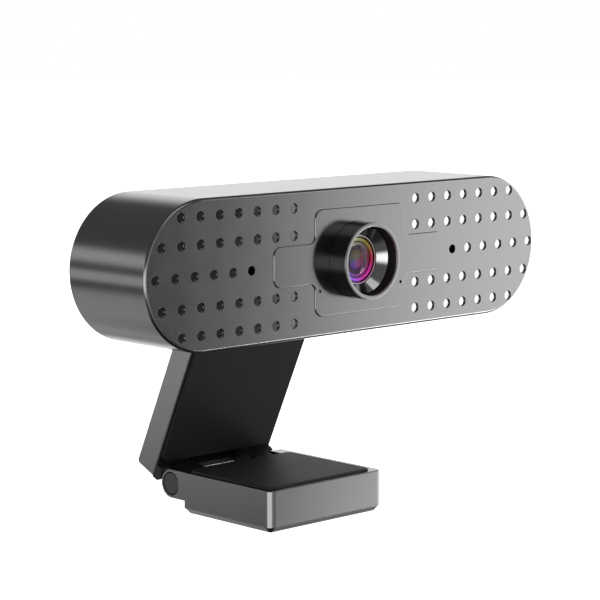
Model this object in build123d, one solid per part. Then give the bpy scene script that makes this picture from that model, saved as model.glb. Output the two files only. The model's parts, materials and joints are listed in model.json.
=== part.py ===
from build123d import *
from math import cos, radians, sin
import os

"""Webcam on a folding clip stand, in millimetres.

The origin is the mouth of the tripod thread, in the middle of the foot's underside.
+X is to the right, +Y points to the back and +Z up, and the lens looks along -Y.
The foot carries the arm on a hinge, and the arm carries the head on a second hinge.
"""

# ---- clearances -------------------------------------------------------------------------
RUNNING_FIT = 0.07          # radial gap of a piece that turns or slides in another
SEAT_GAP = 0.05             # gap round a piece that is seated in a pocket
WASHER_GAP = 0.05           # gap on each side of a friction washer
SCREW_FIT = 0.02            # radial gap of a screw in its own hole
SCREW_CLEARANCE = 0.15      # radial gap of a screw or its head in a piece that it passes through
SCREW_END_GAP = 1.0         # a screw hole runs this much past the screw
TOUCH = 0.01                # tolerance when an edge is picked by its place

# ---- foot -------------------------------------------------------------------------------
FOOT_WIDTH = 32.8
FOOT_DEPTH = 27.8
FOOT_HEIGHT = 8.9
FOOT_CORNER = 1.5           # radius of the upright corners
FOOT_CHAMFER = 1.2          # round the underside
FOOT_EDGE = 0.25            # radius of the top edge
FOOT_WALL = 2.2
FOOT_ROOF = 1.3             # metal left under the pad
PAD_RECESS = 0.5            # how deep the foot's pad is sunk
PAD_PROUD = 0.5             # how far it stands out
PAD_EDGE = 0.4
PAD_CORNER = 1.5
PAD_LEFT, PAD_RIGHT = 1.0, 2.4      # metal left beside the pad
PAD_FRONT, PAD_REAR = 1.0, 1.2
BASE_THICKNESS = 1.6
FOOT_POST_RADIUS = 2.2
FOOT_POST_INSET = 4.6       # from the outside of the foot to a post's axis
FOOT_SCREW_SINK = 0.1       # how far a screw head stays above the underside
FOOT_SCREW_REACH = 4.0      # length of a foot screw past the base

# ---- tripod thread ----------------------------------------------------------------------
THREAD_RADIUS = 2.55        # minor radius of a 1/4 inch thread
THREAD_LENGTH = 6.0
INSERT_RADIUS = 4.0
INSERT_BOSS_WALL = 1.5

# ---- hinges -----------------------------------------------------------------------------
PIN_RADIUS = 1.25
CAP_RADIUS = PIN_RADIUS + 1.2
CAP_GAP = 0.12              # shadow gap round a pin cap
CAP_EDGE = 0.35
FOOT_HINGE_SETBACK = 3.6    # behind the foot's rear face
FOOT_HINGE_HEIGHT = 5.8
EAR_RADIUS = CAP_RADIUS + 0.6
EAR_WIDTH = 3.2
EAR_INSET = 0.1             # the ear's side behind the foot's side
EAR_BORE_LENGTH = 1.1       # the pin's seat in an ear
KNUCKLE_RADIUS = PIN_RADIUS + 1.5
FOOT_WASHER = 0.3
TILT_WASHER = 0.5
WASHER_RADIUS = PIN_RADIUS + 1.15
SLEEVE_RADIUS = PIN_RADIUS + 1.05

# ---- arm, drawn upright from the foot hinge: Y is across it, Z along it -------------------
ARM_WIDTH = FOOT_WIDTH
ARM_LEAN = 24.9             # degrees from upright, the top towards the front
ARM_LENGTH = 38.2           # from hinge to hinge, along the arm
ARM_FACE = 5.45             # front face of the frame, behind the foot hinge
ARM_LAYER = 0.4             # the frame's layer over the shell's front edges
ARM_BACK = 11.7             # rear face of the shell, behind the foot hinge
ARM_TOP_RADIUS = 3.075      # of the arm's round top, about the tilt axis
ARM_END = 1.9               # the arm's lower end, below the foot hinge
ARM_WALL = 1.3
ARM_END_CORNER = 1.0        # radius of the shell's lower rear corner
ARM_EDGE = 0.5              # along the shell's sides
FRAME_THICKNESS = 2.0
LIP_FACE = 3.5              # front of the frame's lower lip
LIP_HEIGHT = 3.1
LIP_EDGE = 1.1
NOTCH_HALF_WIDTH = 7.4      # the gaps between the knuckles, at both ends
NOTCH_HEIGHT = 4.0          # of the lower notch, from the arm's end
NOTCH_BACK = 9.0
TILT_CLEARANCE = 4.2        # from the tilt axis down to the shell's back wall
ARM_PAD_THICKNESS = 0.45
ARM_PAD_INSET = 0.35        # from the arm's sides
ARM_PAD_START = 2.0         # above the foot hinge
ARM_PAD_GAP = 5.0           # from the tilt axis down to the pad's top
ARM_PAD_CORNER = 2.2
ARM_PAD_EDGE = 0.3
ARM_SCREW_X = 10.0
ARM_SCREW_ENDS = 8.0        # from each hinge axis to the nearer screws
ARM_BOSS_RADIUS = 2.2

# ---- head -------------------------------------------------------------------------------
HEAD_LENGTH = 111.3
HEAD_HEIGHT = 30.0
HEAD_DEPTH = 23.2
HEAD_WALL = 1.3
FACE_THICKNESS = 2.0
FRONT_EDGE = 0.65
REAR_EDGE = 0.5
TILT_BEHIND_HEAD = 7.85     # the tilt axis behind the head's back
TILT_ABOVE_BOTTOM = 3.0     # and above its underside
COVER_THICKNESS = 2.0
COVER_RECESS = 0.3
BOSS_RADIUS = 2.6           # the shell's bosses for the cover screws
BOSS_OVERLAP = 0.35
BOSS_LENGTH = 7.0
BOSS_X_INSET = 17.0         # from the head's end

# ---- pattern on the face ----------------------------------------------------------------
LENS_X = 0.45               # the lens and the dimples, beside the head's middle
DIMPLE_RADIUS = 1.03
DIMPLE_DEPTH = 0.5
DIMPLE_PITCH = 4.915
END_COLUMN = 3.72           # from the head's end to the last full column
LENS_MARGIN = 16.5          # no dimple nearer to the lens axis than this
OUTER_ROW = 0.385           # height of the outer row over the middle, as a share of the head's height
INNER_ROW = 0.2023          # and of the inner row
MIDDLE_SHIFT = 1.56         # the middle row stands this much further out
MIDDLE_COUNT = 5
MIC_HOLE_RADIUS = 0.95

# ---- centre plate -----------------------------------------------------------------------
PLATE_X = 1.6               # its middle, beside the head's middle
PLATE_PROUD = 0.25
PLATE_SINK = 1.2
PLATE_HALF = 12.9           # half width of its square
PLATE_HALF_HEIGHT = 0.3617 * HEAD_HEIGHT
BAR_HALF = 24.3             # half length of its bar
BAR_HALF_HEIGHT = 0.1373 * HEAD_HEIGHT
PLATE_CORNER = 1.9
PLATE_INNER_CORNER = 1.5
PLATE_EDGE = 0.2
PINHOLE_RADIUS = 0.35
PINHOLE_X = 11.65
PINHOLE_DROP = 5.65
PIPE_RADIUS = 0.8

# ---- lens -------------------------------------------------------------------------------
RING_RADIUS = 7.9
RING_LIP = 0.9              # width of the ring's front lip
RING_PROUD = 4.8
RING_EDGE = 0.15
RING_FLANGE_STEP = 0.9      # the flange stands out this much from the ring
RING_FLANGE = 1.0
RING_END_PLAY = 0.2
BARREL_SINK = 2.4           # from the ring's lip to the barrel's face
BARREL_HEAD = 4.0
CONE_RIM = 0.13             # flat rim round the barrel's cone
CONE_DEPTH = 1.8            # the cone is at 45 degrees, down to the glass
GLASS_DOME = 1.1
GLASS_EDGE = 1.1
BARREL_WALL = 1.5
BARREL_TUBE = 9.7
INNER_GLASS = ((0.3, 1.7, 0.5), (3.6, 1.8, 0.4), (7.2, 1.4, 0.3))   # start, thickness, bulge
SPACER_BORES = (3.0, 2.4, 2.8)
HOLDER_WALL = 0.96
HOLDER_GAP = 0.9            # from the barrel's head to the holder's tube
LEDGE = 0.5
LEDGE_BORE = 3.2
FILTER_THICKNESS = 0.4
FILTER_SIDE = 7.0

# ---- board and what is on it ------------------------------------------------------------
BOARD_DEPTH = 15.3          # from the head's face to the board's front
BOARD_THICKNESS = 1.2
BOARD_END_GAP = 8.3
BOARD_EDGE_GAP = 0.4
BOARD_CORNER = 3.0
POST_RADIUS = 2.2
POST_END_INSET = 6.0
POST_EDGE_INSET = 2.9
SMALL_SCREW_RADIUS = 0.8
SMALL_HEAD_RADIUS = 1.8
SMALL_HEAD = 1.1
SMALL_HEAD_EDGE = 0.3
HEX_RADIUS = 0.7
HEX_DEPTH = 0.6
SENSOR = (7.0, 1.0, 6.0)    # width, thickness, height
HOLDER_BASE_STEP = 1.4      # the holder's base stands out this much from the ring's bore
HOLDER_BASE = 3.0
HOLDER_EAR_REACH = 2.6      # from the base's rim to a screw's axis
HOLDER_EAR_RADIUS = 2.4
HOLDER_EAR_STEP = 1.0       # the ears are this much thinner than the base
MIC_RADIUS = 2.0
MIC_LENGTH = 1.3
BOOT_RADIUS = 3.0
BOOT_LENGTH = 3.2
LED = (1.6, 0.7, 0.8)
CONNECTOR = (10.0, 3.0, 4.5)
CONNECTOR_WALL = 0.8
CONNECTOR_FLOOR = 1.0
CONNECTOR_X = -26.0
CHIPS = ((0.5, 0.0, 9.0, 1.0, 9.0), (20.0, 1.5, 5.0, 0.9, 6.0), (29.0, -3.0, 3.2, 1.4, 2.5),
         (29.0, 3.5, 3.0, 1.1, 3.0))       # x, z, width, thickness, height

# ---- bracket and cable inlet ------------------------------------------------------------
BRACKET_WIDTH = 22.0
BRACKET_HEIGHT = 11.2
BRACKET_PLATE = 1.5
BRACKET_CORNER = 1.5
BRACKET_ROOM = 1.8          # from the head's underside to the bracket
LUG_NECK = 7.0              # height of the lug where it leaves the bracket
BRACKET_SCREW_X = 8.0
BRACKET_SCREW_DROP = 3.0    # from the bracket's top
CABLE_RADIUS = 1.9
GLAND_X = 27.0
GLAND_BODY_RADIUS = 3.0
GLAND_FLANGE_RADIUS = 4.0
GLAND_OUTER_FLANGE = 1.5
GLAND_INNER_FLANGE = 1.0
GLAND_EDGE = 0.6

# ---- places worked out from the sizes ----------------------------------------------------
FOOT_HINGE = (FOOT_DEPTH / 2 + FOOT_HINGE_SETBACK, FOOT_HINGE_HEIGHT)
LEAN_SIN, LEAN_COS = sin(radians(ARM_LEAN)), cos(radians(ARM_LEAN))
ARM_MID = ARM_BACK - ARM_TOP_RADIUS
TILT_AXIS = (FOOT_HINGE[0] - ARM_LENGTH * LEAN_SIN + ARM_MID * LEAN_COS,
             FOOT_HINGE[1] + ARM_LENGTH * LEAN_COS + ARM_MID * LEAN_SIN)
SHELL_FACE = ARM_FACE + ARM_LAYER
FRAME_BACK = ARM_FACE + FRAME_THICKNESS

BACK_Y = TILT_AXIS[0] - TILT_BEHIND_HEAD
FACE_Y = BACK_Y - HEAD_DEPTH
HEAD_Z = TILT_AXIS[1] - TILT_ABOVE_BOTTOM + HEAD_HEIGHT / 2
FACE_BACK_Y = FACE_Y + FACE_THICKNESS
COVER_Y = BACK_Y - COVER_RECESS
COVER_FRONT_Y = COVER_Y - COVER_THICKNESS
BOARD_Y = FACE_Y + BOARD_DEPTH
BOARD_BACK_Y = BOARD_Y + BOARD_THICKNESS
BOSS_Z = HEAD_HEIGHT / 2 - HEAD_WALL - BOSS_RADIUS + BOSS_OVERLAP
BOSS_X = HEAD_LENGTH / 2 - BOSS_X_INSET
BOARD_LENGTH = HEAD_LENGTH - 2 * (HEAD_WALL + BOARD_END_GAP)
BOARD_HEIGHT = 2 * (BOSS_Z - BOSS_RADIUS - BOARD_EDGE_GAP)
POST_X = BOARD_LENGTH / 2 - POST_END_INSET
POST_Z = BOARD_HEIGHT / 2 - POST_EDGE_INSET
MIDDLE_START = HEAD_LENGTH / 2 - END_COLUMN + MIDDLE_SHIFT
MIC_X = MIDDLE_START - MIDDLE_COUNT * DIMPLE_PITCH

RING_FRONT_Y = FACE_Y - RING_PROUD
RING_BACK_Y = FACE_BACK_Y + RING_END_PLAY + RING_FLANGE
BARREL_Y = RING_FRONT_Y + BARREL_SINK
BARREL_HEAD_BACK_Y = BARREL_Y + BARREL_HEAD
BARREL_BACK_Y = BARREL_HEAD_BACK_Y + BARREL_TUBE
GLASS_Y = BARREL_Y + CONE_DEPTH
GLASS_BACK_Y = GLASS_Y + GLASS_EDGE
RING_BORE = RING_RADIUS - RING_LIP
RING_FLANGE_RADIUS = RING_RADIUS + RING_FLANGE_STEP
BARREL_RADIUS = RING_BORE - RUNNING_FIT
CONE_RADIUS = BARREL_RADIUS - CONE_RIM
GLASS_RADIUS = CONE_RADIUS - CONE_DEPTH
HOLDER_RADIUS = RING_BORE - RUNNING_FIT
HOLDER_BASE_RADIUS = RING_BORE + HOLDER_BASE_STEP
HOLDER_EAR_X = HOLDER_BASE_RADIUS + HOLDER_EAR_REACH
BARREL_TUBE_RADIUS = HOLDER_RADIUS - HOLDER_WALL - RUNNING_FIT
HOLDER_BORE = BARREL_TUBE_RADIUS + RUNNING_FIT
HOLDER_FRONT_Y = BARREL_HEAD_BACK_Y + HOLDER_GAP
LENS_BORE = BARREL_TUBE_RADIUS - BARREL_WALL

PIN_HALF = FOOT_WIDTH / 2 - EAR_INSET - EAR_WIDTH + EAR_BORE_LENGTH
EAR_OUTER = FOOT_WIDTH / 2 - EAR_INSET
EAR_INNER = EAR_OUTER - EAR_WIDTH
KNUCKLE_OUTER = EAR_INNER - FOOT_WASHER - 2 * WASHER_GAP
FRAME_HALF = ARM_WIDTH / 2 - ARM_WALL - SEAT_GAP
LUG_HALF = NOTCH_HALF_WIDTH - TILT_WASHER - 2 * WASHER_GAP


# ---- building helpers -------------------------------------------------------------------
def along_x(sketch, start, end):
    """Extrudes a sketch drawn in Y and Z from x = start to x = end."""
    return extrude(Plane(origin=(start, 0, 0), x_dir=(0, 1, 0), z_dir=(1, 0, 0)) * sketch, amount=end - start)


def along_y(sketch, front, back):
    """Extrudes a sketch drawn in X and Z from y = front to y = back."""
    return extrude(Plane(origin=(0, back, 0), x_dir=(1, 0, 0), z_dir=(0, -1, 0)) * sketch, amount=back - front)


def along_z(sketch, low, high):
    """Extrudes a sketch drawn in X and Y from z = low to z = high."""
    return extrude(Pos(0, 0, low) * sketch, amount=high - low)


def rod_x(y, z, radius, start, end):
    return along_x(Pos(y, z) * Circle(radius), start, end)


def rod_y(x, z, radius, front, back):
    return along_y(Pos(x, z) * Circle(radius), front, back)


def rod_z(x, y, radius, low, high):
    return along_z(Pos(x, y) * Circle(radius), low, high)


def rectangle(left, right, low, high):
    return Pos((left + right) / 2, (low + high) / 2) * Rectangle(right - left, high - low)


def both_sides(make):
    """The same piece on the right and on the left, as two solids."""
    return [make(1), make(-1)]


def mirrored_rod_x(y, z, radius, inner, outer):
    """Two rods along X, from inner to outer on each side of the middle."""
    return both_sides(lambda side: rod_x(y, z, radius, min(side * inner, side * outer),
                                         max(side * inner, side * outer)))


def mirrored_x(sketch, inner, outer):
    return both_sides(lambda side: along_x(sketch, min(side * inner, side * outer),
                                           max(side * inner, side * outer)))


def pill(inset, front, back):
    """The head's outline, moved in by inset, from y = front to y = back."""
    outline = SlotOverall(HEAD_LENGTH - 2 * inset, HEAD_HEIGHT - 2 * inset)
    return along_y(Pos(0, HEAD_Z) * outline, front, back)


def turned(profile):
    """Turns a profile of (radius, y) points round the lens axis."""
    plane = Plane(origin=(LENS_X, 0, HEAD_Z), x_dir=(1, 0, 0), z_dir=(0, 0, 1))
    face = make_face(Polyline(*profile, close=True)) if isinstance(profile, list) else profile
    return revolve(plane * face, axis=Axis((LENS_X, 0, HEAD_Z), (0, 1, 0)))


def on_arm(piece):
    """Leans a piece drawn upright at the foot hinge to where the arm holds it."""
    return Pos(0, *FOOT_HINGE) * Rot(ARM_LEAN, 0, 0) * piece


def corners(x, z):
    return [(i * x, k * z) for i in (-1, 1) for k in (-1, 1)]


# ---- head -------------------------------------------------------------------------------
def dimple_places():
    """Centres of the dimples, in rows that mirror to both sides of the lens."""
    end = HEAD_LENGTH / 2 - END_COLUMN
    columns = int((end - LENS_MARGIN) / DIMPLE_PITCH) + 1
    outer, inner = OUTER_ROW * HEAD_HEIGHT, INNER_ROW * HEAD_HEIGHT
    rows = [(outer, end, 1, columns), (inner, end, 0, columns), (0.0, end + MIDDLE_SHIFT, 0, MIDDLE_COUNT)]
    rows += [(-z, start, first, last) for z, start, first, last in rows[:2]]
    return [(LENS_X + side * (start - column * DIMPLE_PITCH), HEAD_Z + z)
            for z, start, first, last in rows for column in range(first, last) for side in (-1, 1)]


def plate_outline(grow):
    """The cross outline of the centre plate, moved out by grow."""
    square = Rectangle(2 * (PLATE_HALF + grow), 2 * (PLATE_HALF_HEIGHT + grow))
    bar = Rectangle(2 * (BAR_HALF + grow), 2 * (BAR_HALF_HEIGHT + grow))
    cross = square + bar
    inner = [v for v in cross.vertices() if abs(v.X) < BAR_HALF - 1 and abs(v.Y) < PLATE_HALF_HEIGHT - 1]
    cross = fillet(inner, PLATE_INNER_CORNER - grow)
    outer = [v for v in cross.vertices()
             if abs(v.X) > BAR_HALF + grow - SCREW_FIT or abs(v.Y) > PLATE_HALF_HEIGHT + grow - SCREW_FIT]
    return Pos(PLATE_X, HEAD_Z) * fillet(outer, PLATE_CORNER + grow)


def pinhole_places():
    return [(PLATE_X + side * PINHOLE_X, HEAD_Z - PINHOLE_DROP) for side in (-1, 1)]


def make_head_shell():
    body = pill(0, FACE_Y, BACK_Y)
    body = fillet(body.faces().sort_by(Axis.Y)[0].edges(), FRONT_EDGE)
    body = fillet(body.faces().sort_by(Axis.Y)[-1].edges(), REAR_EDGE)
    body -= pill(HEAD_WALL, FACE_BACK_Y, BACK_Y + 1)
    for x, z in corners(BOSS_X, BOSS_Z):
        boss = rod_y(x, HEAD_Z + z, BOSS_RADIUS, COVER_FRONT_Y - BOSS_LENGTH, COVER_FRONT_Y)
        body += boss & pill(HEAD_WALL / 2, FACE_Y, BACK_Y)
        body -= rod_y(x, HEAD_Z + z, SMALL_SCREW_RADIUS, COVER_FRONT_Y - BOSS_LENGTH + SCREW_END_GAP, COVER_FRONT_Y + 1)
    for x, z in corners(POST_X, POST_Z):
        body += rod_y(x, HEAD_Z + z, POST_RADIUS, FACE_BACK_Y, BOARD_Y)
        body -= rod_y(x, HEAD_Z + z, SMALL_SCREW_RADIUS, BOARD_Y - BOSS_LENGTH, BOARD_Y + 1)
    body -= along_y(plate_outline(SEAT_GAP), FACE_Y - 1, FACE_Y + PLATE_SINK)
    cuts = [rod_y(LENS_X, HEAD_Z, RING_RADIUS + RUNNING_FIT, FACE_Y, FACE_BACK_Y + 1)]
    cuts += [rod_y(x, z, PIPE_RADIUS + SEAT_GAP, FACE_Y, FACE_BACK_Y + 1) for x, z in pinhole_places()]
    cuts += [rod_y(LENS_X + side * MIC_X, HEAD_Z, MIC_HOLE_RADIUS, FACE_Y - 1, FACE_BACK_Y + 1) for side in (-1, 1)]
    cuts += [rod_y(x, z, DIMPLE_RADIUS, FACE_Y - 1, FACE_Y + DIMPLE_DEPTH) for x, z in dimple_places()]
    return body - cuts


def make_centre_plate():
    plate = along_y(plate_outline(0), FACE_Y - PLATE_PROUD, FACE_Y + PLATE_SINK - SCREW_FIT)
    plate = fillet(plate.faces().sort_by(Axis.Y)[0].edges(), PLATE_EDGE)
    plate -= rod_y(LENS_X, HEAD_Z, RING_RADIUS + RUNNING_FIT, FACE_Y - 1, FACE_BACK_Y)
    return plate - [rod_y(x, z, PINHOLE_RADIUS, FACE_Y - 1, FACE_BACK_Y) for x, z in pinhole_places()]


def cover_screw_places():
    return [(x, HEAD_Z + z) for x, z in corners(BOSS_X, BOSS_Z)]


def bracket_screw_places():
    top = HEAD_Z - HEAD_HEIGHT / 2 + BRACKET_ROOM + BRACKET_HEIGHT
    return [(side * BRACKET_SCREW_X, top - BRACKET_SCREW_DROP) for side in (-1, 1)]


def gland_place():
    return GLAND_X, HEAD_Z


def make_rear_cover():
    cover = pill(HEAD_WALL + SEAT_GAP, COVER_FRONT_Y, COVER_Y)
    for x, z in cover_screw_places():
        cover -= rod_y(x, z, SMALL_SCREW_RADIUS + SCREW_CLEARANCE, COVER_FRONT_Y - 1, COVER_Y)
        cover -= rod_y(x, z, SMALL_HEAD_RADIUS + SCREW_CLEARANCE, COVER_Y - SMALL_HEAD, COVER_Y + 1)
    for x, z in bracket_screw_places():
        cover -= rod_y(x, z, SMALL_SCREW_RADIUS, COVER_FRONT_Y - 1, COVER_Y + 1)
    return cover - rod_y(*gland_place(), GLAND_BODY_RADIUS, COVER_FRONT_Y - 1, COVER_Y + 1)


def make_cover_screws():
    tip = COVER_FRONT_Y - BOSS_LENGTH + 2 * SCREW_END_GAP
    return [small_screw(x, z, COVER_Y - SMALL_HEAD, tip) for x, z in cover_screw_places()]


def small_screw(x, z, seat, tip):
    """A pan-head screw along Y with its head behind y = seat and its tip in front, at y = tip."""
    head = rod_y(x, z, SMALL_HEAD_RADIUS, seat, seat + SMALL_HEAD)
    head = fillet(head.faces().sort_by(Axis.Y)[-1].edges(), SMALL_HEAD_EDGE)
    head -= along_y(Pos(x, z) * RegularPolygon(HEX_RADIUS, 6), seat + SMALL_HEAD - HEX_DEPTH, seat + SMALL_HEAD + 1)
    return head + rod_y(x, z, SMALL_SCREW_RADIUS - SCREW_FIT, tip, seat)


def make_cable_gland():
    x, z = gland_place()
    gland = rod_y(x, z, GLAND_BODY_RADIUS - SCREW_FIT, COVER_FRONT_Y, COVER_Y)
    outer = rod_y(x, z, GLAND_FLANGE_RADIUS, COVER_Y, COVER_Y + GLAND_OUTER_FLANGE)
    gland += fillet(outer.faces().sort_by(Axis.Y)[-1].edges(), GLAND_EDGE)
    gland += rod_y(x, z, GLAND_FLANGE_RADIUS, COVER_FRONT_Y - GLAND_INNER_FLANGE, COVER_FRONT_Y)
    return gland - rod_y(x, z, CABLE_RADIUS, COVER_FRONT_Y - 2, COVER_Y + 3)


def make_tilt_bracket():
    low = HEAD_Z - HEAD_HEIGHT / 2 + BRACKET_ROOM
    plate = Pos(0, low + BRACKET_HEIGHT / 2) * RectangleRounded(BRACKET_WIDTH, BRACKET_HEIGHT, BRACKET_CORNER)
    bracket = along_y(plate, COVER_Y, COVER_Y + BRACKET_PLATE)
    neck = rectangle(COVER_Y, COVER_Y + BRACKET_PLATE, low, low + LUG_NECK)
    barrel = Pos(*TILT_AXIS) * Circle(ARM_TOP_RADIUS)
    bracket += along_x(make_hull(neck.edges() + barrel.edges()), -LUG_HALF, LUG_HALF)
    bracket -= rod_x(*TILT_AXIS, PIN_RADIUS + RUNNING_FIT, -LUG_HALF - 1, LUG_HALF + 1)
    return bracket - [rod_y(x, z, SMALL_SCREW_RADIUS + SCREW_CLEARANCE, COVER_Y - 1, COVER_Y + 3)
                      for x, z in bracket_screw_places()]


def make_bracket_screws():
    return [small_screw(x, z, COVER_Y + BRACKET_PLATE, COVER_FRONT_Y) for x, z in bracket_screw_places()]


# ---- electronics ------------------------------------------------------------------------
def make_main_board():
    outline = Pos(0, HEAD_Z) * RectangleRounded(BOARD_LENGTH, BOARD_HEIGHT, BOARD_CORNER)
    board = along_y(outline, BOARD_Y, BOARD_BACK_Y)
    holes = [(x, HEAD_Z + z) for x, z in corners(POST_X, POST_Z)] + holder_screw_places()
    return board - [rod_y(x, z, SMALL_SCREW_RADIUS + SCREW_CLEARANCE, BOARD_Y - 1, BOARD_BACK_Y + 1) for x, z in holes]


def make_board_screws():
    tip = BOARD_Y - BOSS_LENGTH + SCREW_END_GAP
    return [small_screw(x, HEAD_Z + z, BOARD_BACK_Y, tip) for x, z in corners(POST_X, POST_Z)]


def block_y(x, z, width, height, front, back):
    return along_y(Pos(x, z) * Rectangle(width, height), front, back)


def make_board_chips():
    return [block_y(x, HEAD_Z + z, width, height, BOARD_BACK_Y, BOARD_BACK_Y + thick)
            for x, z, width, thick, height in CHIPS]


def make_cable_connector():
    width, thick, height = CONNECTOR
    plug = block_y(CONNECTOR_X, HEAD_Z, width, height, BOARD_BACK_Y, BOARD_BACK_Y + thick)
    return plug - block_y(CONNECTOR_X, HEAD_Z, width - 2 * CONNECTOR_WALL, height - 2 * CONNECTOR_WALL,
                          BOARD_BACK_Y + CONNECTOR_FLOOR, BOARD_BACK_Y + thick + 1)


def make_image_sensor():
    width, thick, height = SENSOR
    return block_y(LENS_X, HEAD_Z, width, height, BOARD_Y - thick, BOARD_Y)


def make_status_leds():
    width, thick, height = LED
    return [block_y(x, z, width, height, BOARD_Y - thick, BOARD_Y) for x, z in pinhole_places()]


def make_light_pipes():
    front = FACE_Y + PLATE_SINK + SCREW_FIT
    return [rod_y(x, z, PIPE_RADIUS, front, BOARD_Y - LED[1] - SEAT_GAP) for x, z in pinhole_places()]


def mic_places():
    return [(LENS_X + side * MIC_X, HEAD_Z) for side in (-1, 1)]


def make_microphones():
    front = FACE_BACK_Y + BOOT_LENGTH - MIC_LENGTH
    return [rod_y(x, z, MIC_RADIUS - SCREW_FIT, front, front + MIC_LENGTH) for x, z in mic_places()]


def make_mic_boots():
    def boot(x, z):
        body = rod_y(x, z, BOOT_RADIUS, FACE_BACK_Y, FACE_BACK_Y + BOOT_LENGTH)
        body -= rod_y(x, z, MIC_HOLE_RADIUS, FACE_Y, FACE_BACK_Y + BOOT_LENGTH)
        return body - rod_y(x, z, MIC_RADIUS, FACE_BACK_Y + BOOT_LENGTH - MIC_LENGTH, FACE_BACK_Y + BOOT_LENGTH + 1)
    return [boot(x, z) for x, z in mic_places()]


# ---- lens -------------------------------------------------------------------------------
def holder_screw_places():
    return [(LENS_X + side * HOLDER_EAR_X, HEAD_Z) for side in (-1, 1)]


def make_lens_holder():
    base_y = BOARD_Y - HOLDER_BASE
    holder = rod_y(LENS_X, HEAD_Z, HOLDER_BASE_RADIUS, base_y, BOARD_Y)
    holder += rod_y(LENS_X, HEAD_Z, HOLDER_RADIUS, HOLDER_FRONT_Y, BOARD_Y)
    ear = SlotOverall(2 * (HOLDER_EAR_X + HOLDER_EAR_RADIUS), 2 * HOLDER_EAR_RADIUS)
    holder += along_y(Pos(LENS_X, HEAD_Z) * ear, base_y + HOLDER_EAR_STEP, BOARD_Y)
    holder -= rod_y(LENS_X, HEAD_Z, HOLDER_BORE, HOLDER_FRONT_Y - 1, base_y)
    holder -= rod_y(LENS_X, HEAD_Z, LEDGE_BORE, base_y - 1, BOARD_Y + 1)
    holder -= rod_y(LENS_X, HEAD_Z, HOLDER_BORE, base_y + LEDGE, BOARD_Y + 1)
    return holder - [rod_y(x, z, SMALL_SCREW_RADIUS, base_y, BOARD_Y + 1) for x, z in holder_screw_places()]


def make_holder_screws():
    return [small_screw(x, z, BOARD_BACK_Y, BOARD_Y - HOLDER_BASE + HOLDER_EAR_STEP + SCREW_FIT) for x, z in holder_screw_places()]


def make_ir_filter():
    front = BOARD_Y - HOLDER_BASE + LEDGE
    return block_y(LENS_X, HEAD_Z, FILTER_SIDE, FILTER_SIDE, front, front + FILTER_THICKNESS)


def make_focus_ring():
    ring = turned([(RING_BORE, RING_FRONT_Y), (RING_RADIUS, RING_FRONT_Y),
                   (RING_RADIUS, RING_BACK_Y - RING_FLANGE), (RING_FLANGE_RADIUS, RING_BACK_Y - RING_FLANGE),
                   (RING_FLANGE_RADIUS, RING_BACK_Y), (RING_BORE, RING_BACK_Y)])
    return fillet(ring.faces().sort_by(Axis.Y)[0].edges(), RING_EDGE)


def make_lens_barrel():
    return turned([(CONE_RADIUS, BARREL_Y), (BARREL_RADIUS, BARREL_Y),
                   (BARREL_RADIUS, BARREL_HEAD_BACK_Y), (BARREL_TUBE_RADIUS, BARREL_HEAD_BACK_Y),
                   (BARREL_TUBE_RADIUS, BARREL_BACK_Y), (LENS_BORE, BARREL_BACK_Y),
                   (LENS_BORE, GLASS_BACK_Y), (GLASS_RADIUS, GLASS_BACK_Y), (GLASS_RADIUS, GLASS_Y)])


def lens_blank(radius, front, back, bulge):
    """A lens whose front stands out by bulge in the middle and whose back is flat."""
    dome = TangentArc((0, front - bulge), (radius, front), tangent=(1, 0))
    rest = Polyline((radius, front), (radius, back), (0, back), (0, front - bulge))
    return turned(make_face(dome + rest))


def make_front_element():
    return lens_blank(GLASS_RADIUS - SCREW_FIT, GLASS_Y, GLASS_BACK_Y, GLASS_DOME)


def make_inner_elements():
    return [lens_blank(LENS_BORE - SCREW_FIT, GLASS_BACK_Y + start + bulge, GLASS_BACK_Y + start + thick, bulge)
            for start, thick, bulge in INNER_GLASS]


def make_spacer_rings():
    ends = [GLASS_BACK_Y + start + thick for start, thick, bulge in INNER_GLASS]
    starts = [GLASS_BACK_Y + start for start, thick, bulge in INNER_GLASS[1:]] + [BARREL_BACK_Y]
    return [turned([(bore, front), (LENS_BORE - SCREW_FIT, front), (LENS_BORE - SCREW_FIT, back), (bore, back)])
            for bore, front, back in zip(SPACER_BORES, ends, starts)]


# ---- arm, drawn upright at the foot hinge -------------------------------------------------
def arm_side(front, low):
    """Side view of the arm from y = front to its back, with the round top about the tilt axis."""
    outline = rectangle(ARM_MID - ARM_TOP_RADIUS, ARM_BACK, low, ARM_LENGTH)
    outline += Pos(ARM_MID, ARM_LENGTH) * Circle(ARM_TOP_RADIUS)
    return outline & rectangle(front, ARM_BACK + 1, low - 1, ARM_LENGTH + 2 * ARM_TOP_RADIUS)


def arm_screw_places():
    return [(side * ARM_SCREW_X, z) for side in (-1, 1) for z in (ARM_SCREW_ENDS, ARM_LENGTH - ARM_SCREW_ENDS)]


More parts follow.
